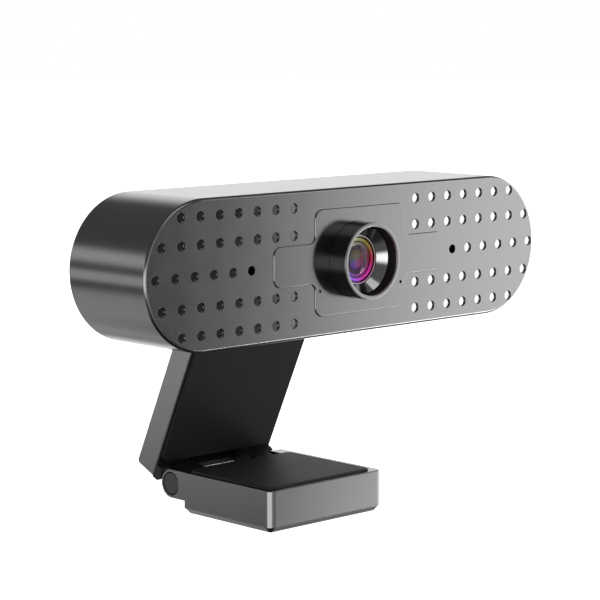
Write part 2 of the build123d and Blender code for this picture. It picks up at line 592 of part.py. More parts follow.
def make_arm_shell():
    half = ARM_WIDTH / 2
    side = arm_side(0, -ARM_END)
    side = fillet([v for v in side.vertices() if v.X > ARM_MID and v.Y < 0], ARM_END_CORNER)
    shell = along_x(side, -half, half)
    shell = fillet([e for e in shell.edges() if abs(e.center().X) > half - SCREW_FIT], ARM_EDGE)
    shell -= along_z(rectangle(-half - 1, half + 1, 0, SHELL_FACE), -ARM_END - 1, 2 * ARM_LENGTH)
    shell -= Pos(0, 0, ARM_WALL - ARM_END) * along_z(rectangle(-half + ARM_WALL, half - ARM_WALL, 0, ARM_BACK - ARM_WALL),
                                                     0, 2 * ARM_LENGTH)
    top = ARM_LENGTH - TILT_CLEARANCE
    shell -= along_z(rectangle(-half + ARM_WALL, half - ARM_WALL, 0, ARM_BACK + 1), top, 2 * ARM_LENGTH)
    shell -= mirrored_rod_x(ARM_MID, ARM_LENGTH, CAP_RADIUS + CAP_GAP, half - ARM_WALL - 1, half + 1)
    wall = ARM_BACK - ARM_WALL
    return on_arm(shell - [rod_y(x, z, SMALL_SCREW_RADIUS, wall - 1, wall + 1) for x, z in arm_screw_places()])


def make_arm_frame():
    half = ARM_WIDTH / 2
    block_low = ARM_LENGTH - TILT_CLEARANCE + SEAT_GAP
    low = ARM_WALL - ARM_END + SEAT_GAP
    frame = along_z(rectangle(-FRAME_HALF, FRAME_HALF, ARM_FACE, FRAME_BACK), low, block_low)
    frame += along_z(rectangle(-half, half, ARM_FACE, SHELL_FACE - SCREW_FIT), -ARM_END, block_low)
    lip = along_x(rectangle(LIP_FACE, SHELL_FACE - SCREW_FIT, -ARM_END, LIP_HEIGHT - ARM_END), -half, half)
    lip = fillet([e for e in lip.edges().filter_by(Axis.X) if e.center().Y < LIP_FACE + TOUCH], LIP_EDGE)
    frame += lip
    frame += mirrored_x(arm_side(SHELL_FACE - ARM_LAYER, block_low), NOTCH_HALF_WIDTH, FRAME_HALF)
    barrel = Circle(KNUCKLE_RADIUS)
    web = rectangle(LIP_FACE, SHELL_FACE - SCREW_FIT, -ARM_END, LIP_HEIGHT - ARM_END)
    frame += mirrored_x(make_hull(barrel.edges() + web.edges()), NOTCH_HALF_WIDTH, KNUCKLE_OUTER)
    bosses = [rod_y(x, z, ARM_BOSS_RADIUS, FRAME_BACK - 1, ARM_BACK - ARM_WALL - SCREW_FIT)
              for x, z in arm_screw_places()]
    frame += bosses
    notch = NOTCH_HALF_WIDTH
    frame -= along_z(rectangle(-notch, notch, 0, NOTCH_BACK), -ARM_END - 1, NOTCH_HEIGHT - ARM_END)
    frame -= rod_x(0, 0, PIN_RADIUS + RUNNING_FIT, -half, half)
    frame -= rod_x(ARM_MID, ARM_LENGTH, PIN_RADIUS, -half, half)
    for x, z in arm_screw_places():
        frame -= rod_y(x, z, SMALL_SCREW_RADIUS + SCREW_CLEARANCE, ARM_FACE - 1, ARM_BACK)
        frame -= rod_y(x, z, SMALL_HEAD_RADIUS + SCREW_CLEARANCE, ARM_FACE - 1, ARM_FACE + SMALL_HEAD + SCREW_FIT)
    return on_arm(frame)


def make_arm_pad():
    half = ARM_WIDTH / 2 - ARM_PAD_INSET
    top = ARM_LENGTH - ARM_PAD_GAP
    outline = Pos(0, (ARM_PAD_START + top) / 2) * RectangleRounded(2 * half, top - ARM_PAD_START, ARM_PAD_CORNER)
    pad = along_y(outline, ARM_FACE - ARM_PAD_THICKNESS, ARM_FACE)
    return on_arm(fillet(pad.faces().sort_by(Axis.Y)[0].edges(), ARM_PAD_EDGE))


def make_arm_screws():
    tip = ARM_BACK - ARM_WALL + 1 - SCREW_FIT

    def screw(x, z):
        head = rod_y(x, z, SMALL_HEAD_RADIUS, ARM_FACE + SCREW_FIT, ARM_FACE + SMALL_HEAD)
        return head + rod_y(x, z, SMALL_SCREW_RADIUS - SCREW_FIT, ARM_FACE + SMALL_HEAD, tip)
    return [on_arm(screw(x, z)) for x, z in arm_screw_places()]


# ---- hinges -----------------------------------------------------------------------------
def make_tilt_pin():
    return rod_x(*TILT_AXIS, PIN_RADIUS - SCREW_FIT, -FRAME_HALF + SEAT_GAP, FRAME_HALF - SEAT_GAP)


def pin_cap(y, z, inner, outer, side):
    """A round cap over a pin's end, its outer rim rounded."""
    cap = rod_x(y, z, CAP_RADIUS, min(side * inner, side * outer), max(side * inner, side * outer))
    rim = cap.faces().sort_by(Axis.X)[-1 if side > 0 else 0].edges()
    return fillet(rim, CAP_EDGE)


def make_tilt_pin_caps():
    inner = FRAME_HALF + SCREW_FIT
    return both_sides(lambda side: pin_cap(*TILT_AXIS, inner, ARM_WIDTH / 2 - EAR_INSET, side))


def washers(y, z, start, thickness):
    """Two friction washers round a pin, one on each side of the middle."""
    rings = mirrored_rod_x(y, z, WASHER_RADIUS, start, start + thickness)
    bore = rod_x(y, z, PIN_RADIUS + SCREW_FIT, -FOOT_WIDTH, FOOT_WIDTH)
    return [ring - bore for ring in rings]


def make_tilt_washers():
    return washers(*TILT_AXIS, LUG_HALF + WASHER_GAP, TILT_WASHER)


def make_foot_washers():
    return washers(*FOOT_HINGE, KNUCKLE_OUTER + WASHER_GAP, FOOT_WASHER)


def make_foot_pin():
    return rod_x(*FOOT_HINGE, PIN_RADIUS - SCREW_FIT, -PIN_HALF + SEAT_GAP, PIN_HALF - SEAT_GAP)


def make_foot_pin_caps():
    return both_sides(lambda side: pin_cap(*FOOT_HINGE, PIN_HALF + SCREW_FIT, EAR_OUTER, side))


def make_hinge_sleeve():
    half = NOTCH_HALF_WIDTH - WASHER_GAP
    sleeve = rod_x(*FOOT_HINGE, SLEEVE_RADIUS, -half, half)
    return sleeve - rod_x(*FOOT_HINGE, PIN_RADIUS + SCREW_FIT, -half - 1, half + 1)


# ---- foot -------------------------------------------------------------------------------
def foot_post_places():
    return corners(FOOT_WIDTH / 2 - FOOT_POST_INSET, FOOT_DEPTH / 2 - FOOT_POST_INSET)


def pad_outline(grow):
    sketch = rectangle(-FOOT_WIDTH / 2 + PAD_LEFT - grow, FOOT_WIDTH / 2 - PAD_RIGHT + grow,
                       -FOOT_DEPTH / 2 + PAD_FRONT - grow, FOOT_DEPTH / 2 - PAD_REAR + grow)
    return fillet(sketch.vertices(), PAD_CORNER + grow)


def make_foot_shell():
    outline = RectangleRounded(FOOT_WIDTH, FOOT_DEPTH, FOOT_CORNER)
    shell = along_z(outline, 0, FOOT_HEIGHT)
    shell = chamfer(shell.faces().sort_by(Axis.Z)[0].edges(), FOOT_CHAMFER)
    shell = fillet(shell.faces().sort_by(Axis.Z)[-1].edges(), FOOT_EDGE)
    rear = FOOT_DEPTH / 2
    root = rectangle(rear - FOOT_WALL / 2, rear, FOOT_HINGE_HEIGHT - EAR_RADIUS, FOOT_HINGE_HEIGHT + EAR_RADIUS)
    ear = make_hull(root.edges() + (Pos(*FOOT_HINGE) * Circle(EAR_RADIUS)).edges())
    shell += mirrored_x(ear, EAR_INNER, EAR_OUTER)
    roof = FOOT_HEIGHT - PAD_RECESS - FOOT_ROOF
    hollow = along_z(Rectangle(FOOT_WIDTH - 2 * FOOT_WALL, FOOT_DEPTH - 2 * FOOT_WALL), -1, roof)
    posts = [rod_z(x, y, FOOT_POST_RADIUS, BASE_THICKNESS, roof) for x, y in foot_post_places()]
    shell -= hollow - posts
    shell -= [rod_z(x, y, SMALL_SCREW_RADIUS, 0, roof - 1) for x, y in foot_post_places()]
    shell -= along_z(pad_outline(SEAT_GAP), FOOT_HEIGHT - PAD_RECESS, FOOT_HEIGHT + 1)
    shell -= rod_x(*FOOT_HINGE, PIN_RADIUS, -FOOT_WIDTH, FOOT_WIDTH)
    return shell - mirrored_rod_x(*FOOT_HINGE, CAP_RADIUS + CAP_GAP, PIN_HALF, FOOT_WIDTH)


def make_foot_pad():
    pad = along_z(pad_outline(0), FOOT_HEIGHT - PAD_RECESS + SCREW_FIT, FOOT_HEIGHT + PAD_PROUD)
    return fillet(pad.faces().sort_by(Axis.Z)[-1].edges(), PAD_EDGE)


def make_foot_base():
    gap = 2 * (FOOT_WALL + SEAT_GAP)
    base = along_z(Rectangle(FOOT_WIDTH - gap, FOOT_DEPTH - gap), 0, BASE_THICKNESS - SCREW_FIT)
    base += rod_z(0, 0, INSERT_RADIUS + INSERT_BOSS_WALL, 0, THREAD_LENGTH)
    base -= rod_z(0, 0, INSERT_RADIUS, -1, THREAD_LENGTH + 1)
    for x, y in foot_post_places():
        base -= rod_z(x, y, SMALL_SCREW_RADIUS + SCREW_CLEARANCE, -1, BASE_THICKNESS)
        base -= rod_z(x, y, SMALL_HEAD_RADIUS + SCREW_CLEARANCE, -1, SMALL_HEAD)
    return base


def make_foot_screws():
    def screw(x, y):
        head = rod_z(x, y, SMALL_HEAD_RADIUS, FOOT_SCREW_SINK, SMALL_HEAD)
        head -= Pos(x, y, 0) * along_z(RegularPolygon(HEX_RADIUS, 6), 0, FOOT_SCREW_SINK + HEX_DEPTH)
        return head + rod_z(x, y, SMALL_SCREW_RADIUS - SCREW_FIT, SMALL_HEAD, BASE_THICKNESS + FOOT_SCREW_REACH)
    return [screw(x, y) for x, y in foot_post_places()]


def make_thread_insert():
    insert = rod_z(0, 0, INSERT_RADIUS - SCREW_FIT, 0, THREAD_LENGTH)
    return insert - rod_z(0, 0, THREAD_RADIUS, -1, THREAD_LENGTH + 1)


PIECES = {
    "foot_shell": make_foot_shell, "foot_base": make_foot_base, "foot_pad": make_foot_pad,
    "foot_screws": make_foot_screws, "thread_insert": make_thread_insert, "foot_pin": make_foot_pin,
    "foot_pin_caps": make_foot_pin_caps, "foot_washers": make_foot_washers, "hinge_sleeve": make_hinge_sleeve,
    "arm_shell": make_arm_shell, "arm_frame": make_arm_frame, "arm_pad": make_arm_pad,
    "arm_screws": make_arm_screws, "tilt_pin": make_tilt_pin, "tilt_pin_caps": make_tilt_pin_caps,
    "tilt_washers": make_tilt_washers,
    "head_shell": make_head_shell, "centre_plate": make_centre_plate, "rear_cover": make_rear_cover,
    "cover_screws": make_cover_screws, "tilt_bracket": make_tilt_bracket, "bracket_screws": make_bracket_screws,
    "cable_gland": make_cable_gland, "main_board": make_main_board, "board_screws": make_board_screws,
    "board_chips": make_board_chips, "cable_connector": make_cable_connector, "image_sensor": make_image_sensor,
    "ir_filter": make_ir_filter, "lens_holder": make_lens_holder, "holder_screws": make_holder_screws,
    "microphones": make_microphones, "mic_boots": make_mic_boots, "status_leds": make_status_leds,
    "light_pipes": make_light_pipes,
    "focus_ring": make_focus_ring,
    "lens_barrel": make_lens_barrel, "front_element": make_front_element,
    "inner_elements": make_inner_elements, "spacer_rings": make_spacer_rings,
}

os.makedirs("parts", exist_ok=True)
for node, make in PIECES.items():
    piece = make()
    solids = piece if isinstance(piece, list) else [piece]
    solids = [solid for item in solids for solid in item.solids()]
    export_step(solids[0] if len(solids) == 1 else Compound(children=solids), f"parts/{node}.step")

print("tilt axis", TILT_AXIS, "head centre", (FACE_Y, HEAD_Z), "foot hinge", FOOT_HINGE)
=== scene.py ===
import json
from math import cos, pi, radians, sin

import bmesh
import bpy
from bpy.props import FloatProperty, FloatVectorProperty, IntProperty, PointerProperty
from mathutils import Matrix, Vector


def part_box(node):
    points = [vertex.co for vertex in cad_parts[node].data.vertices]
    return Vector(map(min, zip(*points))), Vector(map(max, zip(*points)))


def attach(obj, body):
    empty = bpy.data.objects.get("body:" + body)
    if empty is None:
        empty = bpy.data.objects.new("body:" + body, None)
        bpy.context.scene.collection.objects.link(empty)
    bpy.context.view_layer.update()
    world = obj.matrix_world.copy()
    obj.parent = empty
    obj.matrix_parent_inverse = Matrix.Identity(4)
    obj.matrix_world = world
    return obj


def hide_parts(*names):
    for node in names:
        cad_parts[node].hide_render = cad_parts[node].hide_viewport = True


# The visible pieces, finishes and stage of a webcam on a folding clip stand, in metres.
#
# The frame's CAD nodes stay where their shape is right, and get a finish. The housing, the face
# plate, the focus ring, the lens and the screws are made here in finer detail and stand for their
# nodes. +X is to the right as seen from the front, +Y to the back and +Z up, and the lens looks
# along -Y.

bl_info = {
    "name": "Webcam on a Clip Stand",
    "version": (1, 0, 0),
    "blender": (4, 5, 0),
    "location": "3D View > Sidebar > Webcam",
    "description": "Makes the pieces, finishes and stage of a webcam on a folding clip stand",
    "category": "Object",
}

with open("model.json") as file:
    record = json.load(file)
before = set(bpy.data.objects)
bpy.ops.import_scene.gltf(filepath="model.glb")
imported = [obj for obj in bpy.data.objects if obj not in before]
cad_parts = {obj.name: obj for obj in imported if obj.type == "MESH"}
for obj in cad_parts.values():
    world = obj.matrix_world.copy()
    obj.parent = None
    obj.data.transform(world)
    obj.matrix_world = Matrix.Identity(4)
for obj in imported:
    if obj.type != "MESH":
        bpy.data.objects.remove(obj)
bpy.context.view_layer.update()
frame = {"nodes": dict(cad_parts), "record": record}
MM = 0.001
MADE = {}  # the finishes made so far, by name
SHARP = radians(32)  # edges that turn by more than this stay sharp
PAST = 1.0 * MM  # how far a cutting shape reaches past the surface that it cuts
BORE_DEPTH = 3.0 * MM  # how far the bores of the face go in from it
RING_CLEARANCE = 0.07 * MM  # between the focus ring and the bore round it
GRAIN = 14000  # blasting marks on the metal, per metre
# the black of painted shade: on the dimples' walls and on the lip inside the arm's hinge
SHADE_BLACK = (0.012, 0.012, 0.012, 1.0)

HEAD_LOW, HEAD_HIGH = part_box("head_shell")
FACE_Y, BACK_Y = HEAD_LOW.y, HEAD_HIGH.y
HEAD_Z = (HEAD_LOW.z + HEAD_HIGH.z) / 2
HEAD_LENGTH = HEAD_HIGH.x - HEAD_LOW.x
HEAD_HEIGHT = HEAD_HIGH.z - HEAD_LOW.z
RING_LOW, RING_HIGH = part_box("focus_ring")
LENS_X = (RING_LOW.x + RING_HIGH.x) / 2
PLATE_LOW, PLATE_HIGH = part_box("centre_plate")
PLATE_X = (PLATE_LOW.x + PLATE_HIGH.x) / 2
BARREL_LOW, BARREL_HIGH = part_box("lens_barrel")
GLASS_LOW, GLASS_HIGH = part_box("front_element")


def length(text, value, what):
    """A size in metres that the panel shows."""
    return FloatProperty(name=text, description=what, default=value, min=0.0, unit="LENGTH",
                         precision=5)


def row_height(text, value, what):
    """A share of the housing's height that the panel shows."""
    return FloatProperty(name=text, description=what, default=value, min=0.0, max=0.5)


def number(text, value, what):
    """A number of dimples that the panel shows."""
    return IntProperty(name=text, description=what, default=value, min=1)


def colour(text, value, what):
    """A colour that the panel shows."""
    return FloatVectorProperty(name=text, description=what, default=value, min=0.0, max=1.0,
                               subtype="COLOR")


class HousingSizes(bpy.types.PropertyGroup):
    """Sizes of the housing and of the pattern on its face."""
    front_edge: length("Front edge", 0.65 * MM, "Radius of the edge round the face")
    rear_edge: length("Rear edge", 0.5 * MM, "Radius of the edge round the back")
    wall: length("Wall", 1.3 * MM, "Thickness of the housing's wall")
    face: length("Face", 2.0 * MM, "Thickness of the housing's face")
    dimple_radius: length("Dimple radius", 1.03 * MM, "Radius of a dimple")
    dimple_depth: length("Dimple depth", 0.5 * MM, "Depth of a dimple")
    dimple_rim: length("Dimple rim", 0.03 * MM, "Radius of the rounded rim of a dimple")
    dimple_pitch: length("Dimple pitch", 4.915 * MM, "Distance between the dimples of a row")
    end_column: length("End column", 3.72 * MM, "From the housing's end to the last full column")
    middle_shift: length("Middle shift", 1.56 * MM, "How much further out the middle row stands")
    mic_radius: length("Microphone hole", 0.95 * MM, "Radius of a microphone hole")
    outer_row: row_height("Outer row", 0.385, "Up from the middle, over the height")
    inner_row: row_height("Inner row", 0.2023, "Up from the middle, over the height")
    outer_count: number("Outer count", 7, "Dimples on each side of an outer row")
    inner_count: number("Inner count", 8, "Dimples on each side of an inner row")
    middle_count: number("Middle count", 5, "Dimples on each side of the middle row")


class PlateSizes(bpy.types.PropertyGroup):
    """Sizes of the cross-shaped plate round the lens."""
    edge: length("Edge", 0.2 * MM, "Radius of the plate's edge")
    square_width: length("Square width", 12.9 * MM, "Half the width of the plate's square")
    square_height: length("Square height", 10.851 * MM, "Half the height of the plate's square")
    bar_height: length("Bar height", 4.119 * MM, "Half the height of the plate's bar")
    outer_corner: length("Outer corner", 1.9 * MM, "Radius of the plate's outer corners")
    inner_corner: length("Inner corner", 1.5 * MM, "Radius of the plate's inner corners")
    gap: length("Gap", 0.01 * MM, "Gap round the plate")
    pinhole: length("Pinhole", 0.35 * MM, "Radius of a status light's pinhole")
    pinhole_x: length("Pinhole spread", 11.65 * MM, "From the plate's middle to a pinhole")
    pinhole_drop: length("Pinhole drop", 5.65 * MM, "From the lens axis down to a pinhole")


class LensSizes(bpy.types.PropertyGroup):
    """Sizes of the focus ring and the lens in it."""
    ring: length("Ring", 7.9 * MM, "Outer radius of the focus ring")
    bore: length("Bore", 7.0 * MM, "Inner radius of the focus ring")
    ring_edge: length("Ring edge", 0.15 * MM, "Radius of the ring's front edges")
    cone: length("Cone", 6.8 * MM, "Radius of the cone round the glass")
    glass: length("Glass", 4.98 * MM, "Radius of the front glass")
    dome: length("Dome", 1.1 * MM, "How far the front glass bulges")


class FinishColours(bpy.types.PropertyGroup):
    """Colours of the main finishes."""
    metal: colour("Metal", (0.25, 0.25, 0.252), "Gunmetal of the housing, the arm and the foot")
    cap: colour("Pin caps", (0.10, 0.10, 0.105), "Darker metal of the pin caps")
    rubber: colour("Rubber", (0.018, 0.018, 0.0185), "Pads, cable gland and microphone boots")
    plastic: colour("Plastic", (0.010, 0.010, 0.0105), "Moulded frame, rear cover and lens holder")
    ring: colour("Ring", (0.006, 0.006, 0.0065), "Polished side of the focus ring")
    lip: colour("Ring lip", (0.27, 0.27, 0.27), "Satin lip of the focus ring")
    # the lens coating colours below are painted reflections, which turn round the lens axis and
    # glow
    coat_reflection_top: colour("Coating, top", (0.24, 0.24, 0.02), "Lens coating at the top")
    coat_reflection_right: colour("Coating, right", (0.47, 0.02, 0.07), "Lens coating at the right")
    coat_reflection_corner: colour("Coating, lower right", (0.70, 0.03, 0.40),
                        "Lens coating at the lower right")
    coat_reflection_bottom: colour("Coating, bottom", (0.30, 0.06, 0.95), "Lens coating at the bottom")
    coat_reflection_left: colour("Coating, left", (0.02, 0.22, 0.16), "Lens coating at the left")
    board: colour("Board", (0.012, 0.075, 0.035), "Solder mask of the circuit board")


# ---- node trees ----
class Value:
    """A socket that Python arithmetic turns into Math nodes."""

    def __init__(self, graph, socket):
        self.graph, self.socket = graph, socket

    def math(self, operation, *values):
        return self.graph.node("ShaderNodeMath", {"operation": operation},
                               dict(enumerate(values)))

    def __add__(self, other):
        return self.math("ADD", self, other)

    def __radd__(self, other):
        return self.math("ADD", other, self)

    def __sub__(self, other):
        return self.math("SUBTRACT", self, other)

    def __rsub__(self, other):
        return self.math("SUBTRACT", other, self)

    def __mul__(self, other):
        return self.math("MULTIPLY", self, other)

    def __rmul__(self, other):
        return self.math("MULTIPLY", other, self)

    def __truediv__(self, other):
        return self.math("DIVIDE", self, other)

    def step(self, low, high):
        """Rises smoothly from 0 at low to 1 at high."""
        return self.graph.node("ShaderNodeMapRange", {"interpolation_type": "SMOOTHSTEP"},
                               {"Value": self, "From Min": low, "From Max": high})

    def band(self, middle, half, soft):
        """1 near middle, and 0 further than half from it, with soft edges."""
        away = self.math("ABSOLUTE", self - middle)
        return 1.0 - away.step(half - soft, half + soft)


class Graph:
    """Makes and links the nodes of one shader or geometry tree."""

    def __init__(self, tree):
        self.tree = tree

    def node(self, kind, settings=None, inputs=None, output=0):
        """A new node with its settings and the values or links of its inputs. Gives one output."""
        made = self.tree.nodes.new(kind)
        for key, value in (settings or {}).items():
            setattr(made, key, value)
        for key, value in (inputs or {}).items():
            self.put(made.inputs[key], value)
        return Value(self, made.outputs[output])

    def put(self, socket, value):
        """Gives a socket a plain value, a link, or several links."""
        for item in value if isinstance(value, list) else [value]:
            if isinstance(item, Value):
                self.tree.links.new(item.socket, socket)
            else:
                socket.default_value = item

    def parts(self, vector):
        """The three numbers of a vector."""
        made = self.tree.nodes.new("ShaderNodeSeparateXYZ")
        self.put(made.inputs[0], vector)
        return [Value(self, socket) for socket in made.outputs]


class Finish(Graph):
    """A material under construction. Plain numbers go straight onto the shader's sockets."""

    def __init__(self, name, **sockets):
        self.material = MADE[name] = bpy.data.materials.new(name)
        self.material.use_nodes = True
        super().__init__(self.material.node_tree)
        self.shader = self.tree.nodes["Principled BSDF"]
        for key, value in sockets.items():
            self.feed(key.replace("_", " ").title().replace("Ior", "IOR"), value)

    def feed(self, socket, value):
        """Gives one of the shader's sockets its value."""
        self.put(self.shader.inputs[socket], value)

    def place(self):
        """The place on the piece, in metres."""
        return self.node("ShaderNodeTexCoord", output="Object")

    def noise(self, scale, detail=2.0, stretch=(1.0, 1.0, 1.0)):
        """Noise from 0 to 1 with features of 1 / scale metres."""
        place = self.node("ShaderNodeMapping", None, {"Vector": self.place(), "Scale": stretch})
        return self.node("ShaderNodeTexNoise", None,
                         {"Vector": place, "Scale": scale, "Detail": detail})

    def blend(self, share, first, second):
        """One colour over another by share."""
        return self.node("ShaderNodeMix", {"data_type": "RGBA"},
                         {0: share, 6: first, 7: second}, 2)

    def shades(self, base, share, spread):
        """A colour that drifts by spread to each side of base."""
        darker = (*[c * (1 - spread) for c in base], 1.0)
        lighter = (*[min(1.0, c * (1 + spread)) for c in base], 1.0)
        return self.blend(share, darker, lighter)

    def bump(self, height, depth, strength):
        """Small relief. Gives the finished material."""
        self.feed("Normal", self.node("ShaderNodeBump", None,
                                      {"Height": height, "Distance": depth, "Strength": strength}))
        return self.material


# ---- finishes ----
def satin_metal(name, base, rough, grain_depth=1.5e-6):
    """Fine-blasted and anodised metal, its gloss a little uneven."""
    made = Finish(name, metallic=1.0)
    grain, cloud = made.noise(GRAIN, 3.0), made.noise(180, 2.0)
    made.feed("Base Color", made.shades(base, grain * 0.7 + cloud * 0.3, 0.06))
    made.feed("Roughness", rough + (grain - 0.5) * 0.05 + (cloud - 0.5) * 0.03)
    return made.bump(grain, grain_depth, 0.3)


def moulded(name, base, rough, grain=5200, depth=1.2e-5):
    """Moulded plastic or rubber with a fine matt skin."""
    made = Finish(name, specular_ior_level=0.3)
    skin, cloud = made.noise(grain, 3.0), made.noise(120, 2.0)
    made.feed("Base Color", made.shades(base, cloud * 0.6 + skin * 0.4, 0.22))
    made.feed("Roughness", rough + (skin - 0.5) * 0.10 + (cloud - 0.5) * 0.06)
    return made.bump(skin, depth, 0.6)


def gloss_black(name, base, rough):
    """Polished black with the faint lines of a lathe."""
    made = Finish(name, coat_weight=0.6, coat_roughness=0.03)
    lines = made.noise(2600, 1.0, (1.0, 9.0, 1.0))
    made.feed("Base Color", made.shades(base, lines, 0.25))
    made.feed("Roughness", rough + (lines - 0.5) * 0.04)
    return made.bump(lines, 1.5e-6, 0.4)


def arm_metal(name, base, rough):
    """The housing's metal, with a painted shade of dead black on the lip inside the hinge, and bare
    metal everywhere else.
    """
    upright, leaning = 0.907, 0.421  # cosine and sine of the arm's lean to the back
    half_width, lip, lip_height = 13.0 * MM, -3.2 * MM, 0.7 * MM
    front, front_end = 27.1 * MM, 27.0 * MM
    made = Finish(name)
    grain, (x, y, z) = made.noise(GRAIN, 3.0), made.parts(made.place())
    along, outward = z * upright - y * leaning, y * upright + z * leaning
    # the lip inside the hinge, between the parts where shade falls, gets painted shade
    hinge_shade = (x.band(0.0, half_width, 0.1 * MM) * along.band(lip, lip_height, 0.05 * MM)
               * outward.step(front, front_end))
    made.feed("Base Color", made.blend(hinge_shade, made.shades(base, grain, 0.05), SHADE_BLACK))
    made.feed("Metallic", 1.0 - hinge_shade)
    made.feed("Roughness", rough + hinge_shade * 0.35 + (grain - 0.5) * 0.05)
    return made.bump(grain, 1.5e-6, 0.3)


def turned_metal(name, base, rough):
    """Bare metal with fine machining marks."""
    made = Finish(name, metallic=1.0)
    lines = made.noise(5200, 2.0)
    made.feed("Base Color", made.shades(base, lines, 0.08))
    made.feed("Roughness", rough + (lines - 0.5) * 0.08)
    return made.bump(lines, 3e-6, 0.4)


def polished_cup(name, floor):
    """A dimple's cup: polished metal up to the depth of its floor, and a painted shade of dead
    black on its wall.
    """
    made = Finish(name, specular_ior_level=0.1)
    cloud, (_, y, _) = made.noise(900, 1.0), made.parts(made.place())
    # the wall above the floor is painted dead black: painted shade
    wall = y.step(floor, floor - 0.02 * MM)
    metal = made.shades((0.50, 0.50, 0.50), cloud, 0.04)
    made.feed("Base Color", made.blend(wall, metal, SHADE_BLACK))
    made.feed("Metallic", 1.0 - wall)
    made.feed("Roughness", 0.06 + wall * 0.4 + (cloud - 0.5) * 0.04)
    return made.material


def coated_stack(name, colours, centre):
    """The coated elements in the lens: rings of painted reflection whose colour turns round the
    axis, black between, all glowing by emission as painted light.
    """
    black, glow_tint = (0.001, 0.001, 0.002, 1.0), (0.16, 0.10, 0.18, 1.0)
    pale_rim = (0.75, 0.72, 0.70, 1.0)
    per_radius = 1 / (5 * MM)  # turns metres from the axis into a share of the glass
    # the stack gives off its own colours by emission: painted light
    made = Finish(name, roughness=0.25, specular_ior_level=0.3, emission_strength=0.34)
    x, _, z = made.parts(made.place())
    across, up = (x - centre.x) * per_radius, (z - centre.z) * per_radius
    square = across * across + up * up
    radius = square.math("POWER", square + 1e-4, 0.5)
    u, v = across / radius, up / radius  # the direction from the axis
    low = made.blend(u.step(-0.5, 0.6), (*colours.coat_reflection_bottom, 1.0), (*colours.coat_reflection_corner, 1.0))
    tint = made.blend(u.step(-0.5, 0.5), (*colours.coat_reflection_left, 1.0), (*colours.coat_reflection_right, 1.0))
    tint = made.blend(v.step(0.0, 0.95), tint, (*colours.coat_reflection_top, 1.0))
    tint = made.blend(v.step(-0.05, -0.75), tint, low)
    strong_ring = radius.band(0.83, 0.055, 0.035)
    weak_ring = radius.band(0.665, 0.05, 0.04) * 0.34
    middle = (1.0 - radius.step(0.30, 0.49)) * 0.22
    # a painted pinkish glow over the middle of the lens
    glow = (1.0 - radius.step(0.0, 0.30)) * 0.30
    shade = made.blend(strong_ring + weak_ring + middle + 0.02, black, tint)
    shade = made.blend(glow, shade, glow_tint)
    # a pale ring at the glass's rim, painted and glowing like the rest
    shade = made.blend(radius.step(0.955, 0.975), shade, made.blend(0.5, tint, pale_rim))
    made.feed("Base Color", shade)
    made.feed("Emission Color", shade)
    return made.material


def coated_dome(name):
    """Clear glass that shows only its tinted reflection."""
    made = Finish(name, metallic=1.0, roughness=0.03)
    dust = made.noise(1800, 2.0)
    made.feed("Base Color", made.shades((0.95, 0.62, 0.95), dust, 0.05))
    made.feed("Alpha", 0.02 + dust * 0.01)
    return made.material


def circuit_board(name, base):
    """Solder mask with the lines of its tracks."""
    darker, track = [c * 0.8 for c in base], [min(1.0, c * 1.9) for c in base]
    made = Finish(name, coat_weight=0.4, coat_roughness=0.2)
    upright = made.node("ShaderNodeMapping", None,
                        {"Vector": made.place(), "Rotation": (pi / 2, 0.0, 0.0)})
    made.feed("Base Color", made.node("ShaderNodeTexBrick", None, {
        "Vector": upright, "Scale": 240.0, "Mortar Size": 0.03,
        "Color1": (*base, 1.0), "Color2": (*darker, 1.0), "Mortar": (*track, 1.0)}))
    made.feed("Roughness", 0.4 + (made.noise(1500) - 0.5) * 0.1)
    return made.material


def clear_glass(name, tint, rough):
    """Glass or clear plastic, a little dusty."""
    made = Finish(name, transmission_weight=0.9, ior=1.5)
    dust = made.noise(2600, 3.0)
    made.feed("Base Color", made.shades(tint, dust, 0.04))
    made.feed("Roughness", rough + (dust - 0.5) * 0.06)
    return made.material


# ---- mesh helpers ----
def mesh_object(name, points, faces, finishes):
    """A smooth-shaded object with its place in its mesh, and its sharp edges marked."""
    mesh = bpy.data.meshes.new(name)
    mesh.from_pydata(points, [], faces)
    mesh.validate()
    for finish in finishes:
        mesh.materials.append(finish)
    mesh.shade_smooth()
    mesh.set_sharp_from_angle(angle=SHARP)
    made = bpy.data.objects.new(name, mesh)
    bpy.context.scene.collection.objects.link(made)
    return made


def loft(name, rings, finishes=(), closed=False, slots=None):
    """A closed mesh through rings of points. It runs back to its first ring, or it has end caps."""
    count = len(rings[0])
    points = [p for ring in rings for p in ring]
    span_count = len(rings) if closed else len(rings) - 1
    spans = [(k, (k + 1) % len(rings)) for k in range(span_count)]
    faces, marks = [], []
    for k, (a, b) in enumerate(spans):
        for i in range(count):
            j = (i + 1) % count
            faces.append((a * count + i, a * count + j, b * count + j, b * count + i))
            marks.append(slots[k] if slots else 0)
    if not closed:
        last = (len(rings) - 1) * count
        faces += [tuple(reversed(range(count))), tuple(range(last, last + count))]
        marks += [marks[0], marks[-1]]
    made = mesh_object(name, points, faces, finishes)
    made.data.polygons.foreach_set("material_index", marks)
    face_outwards(made.data)
    return made


def face_outwards(mesh):
    """Turns every face of a closed mesh so that it points out."""
    work = bmesh.new()
    work.from_mesh(mesh)
    bmesh.ops.recalc_face_normals(work, faces=work.faces)
    work.to_mesh(mesh)
    work.free()


def circle(x, z, radius, y, count=96, sides=0):
    """A ring of points round an axis along Y. With sides it is a polygon, as for a key."""
    ring = []
    for i in range(count):
        turn = 2 * pi * i / count
        reach = radius
        if sides:
            step = 2 * pi / sides
            reach = radius * cos(step / 2) / cos((turn + step / 2) % step - step / 2)
        ring.append((x + reach * cos(turn), y, z + reach * sin(turn)))
    return ring


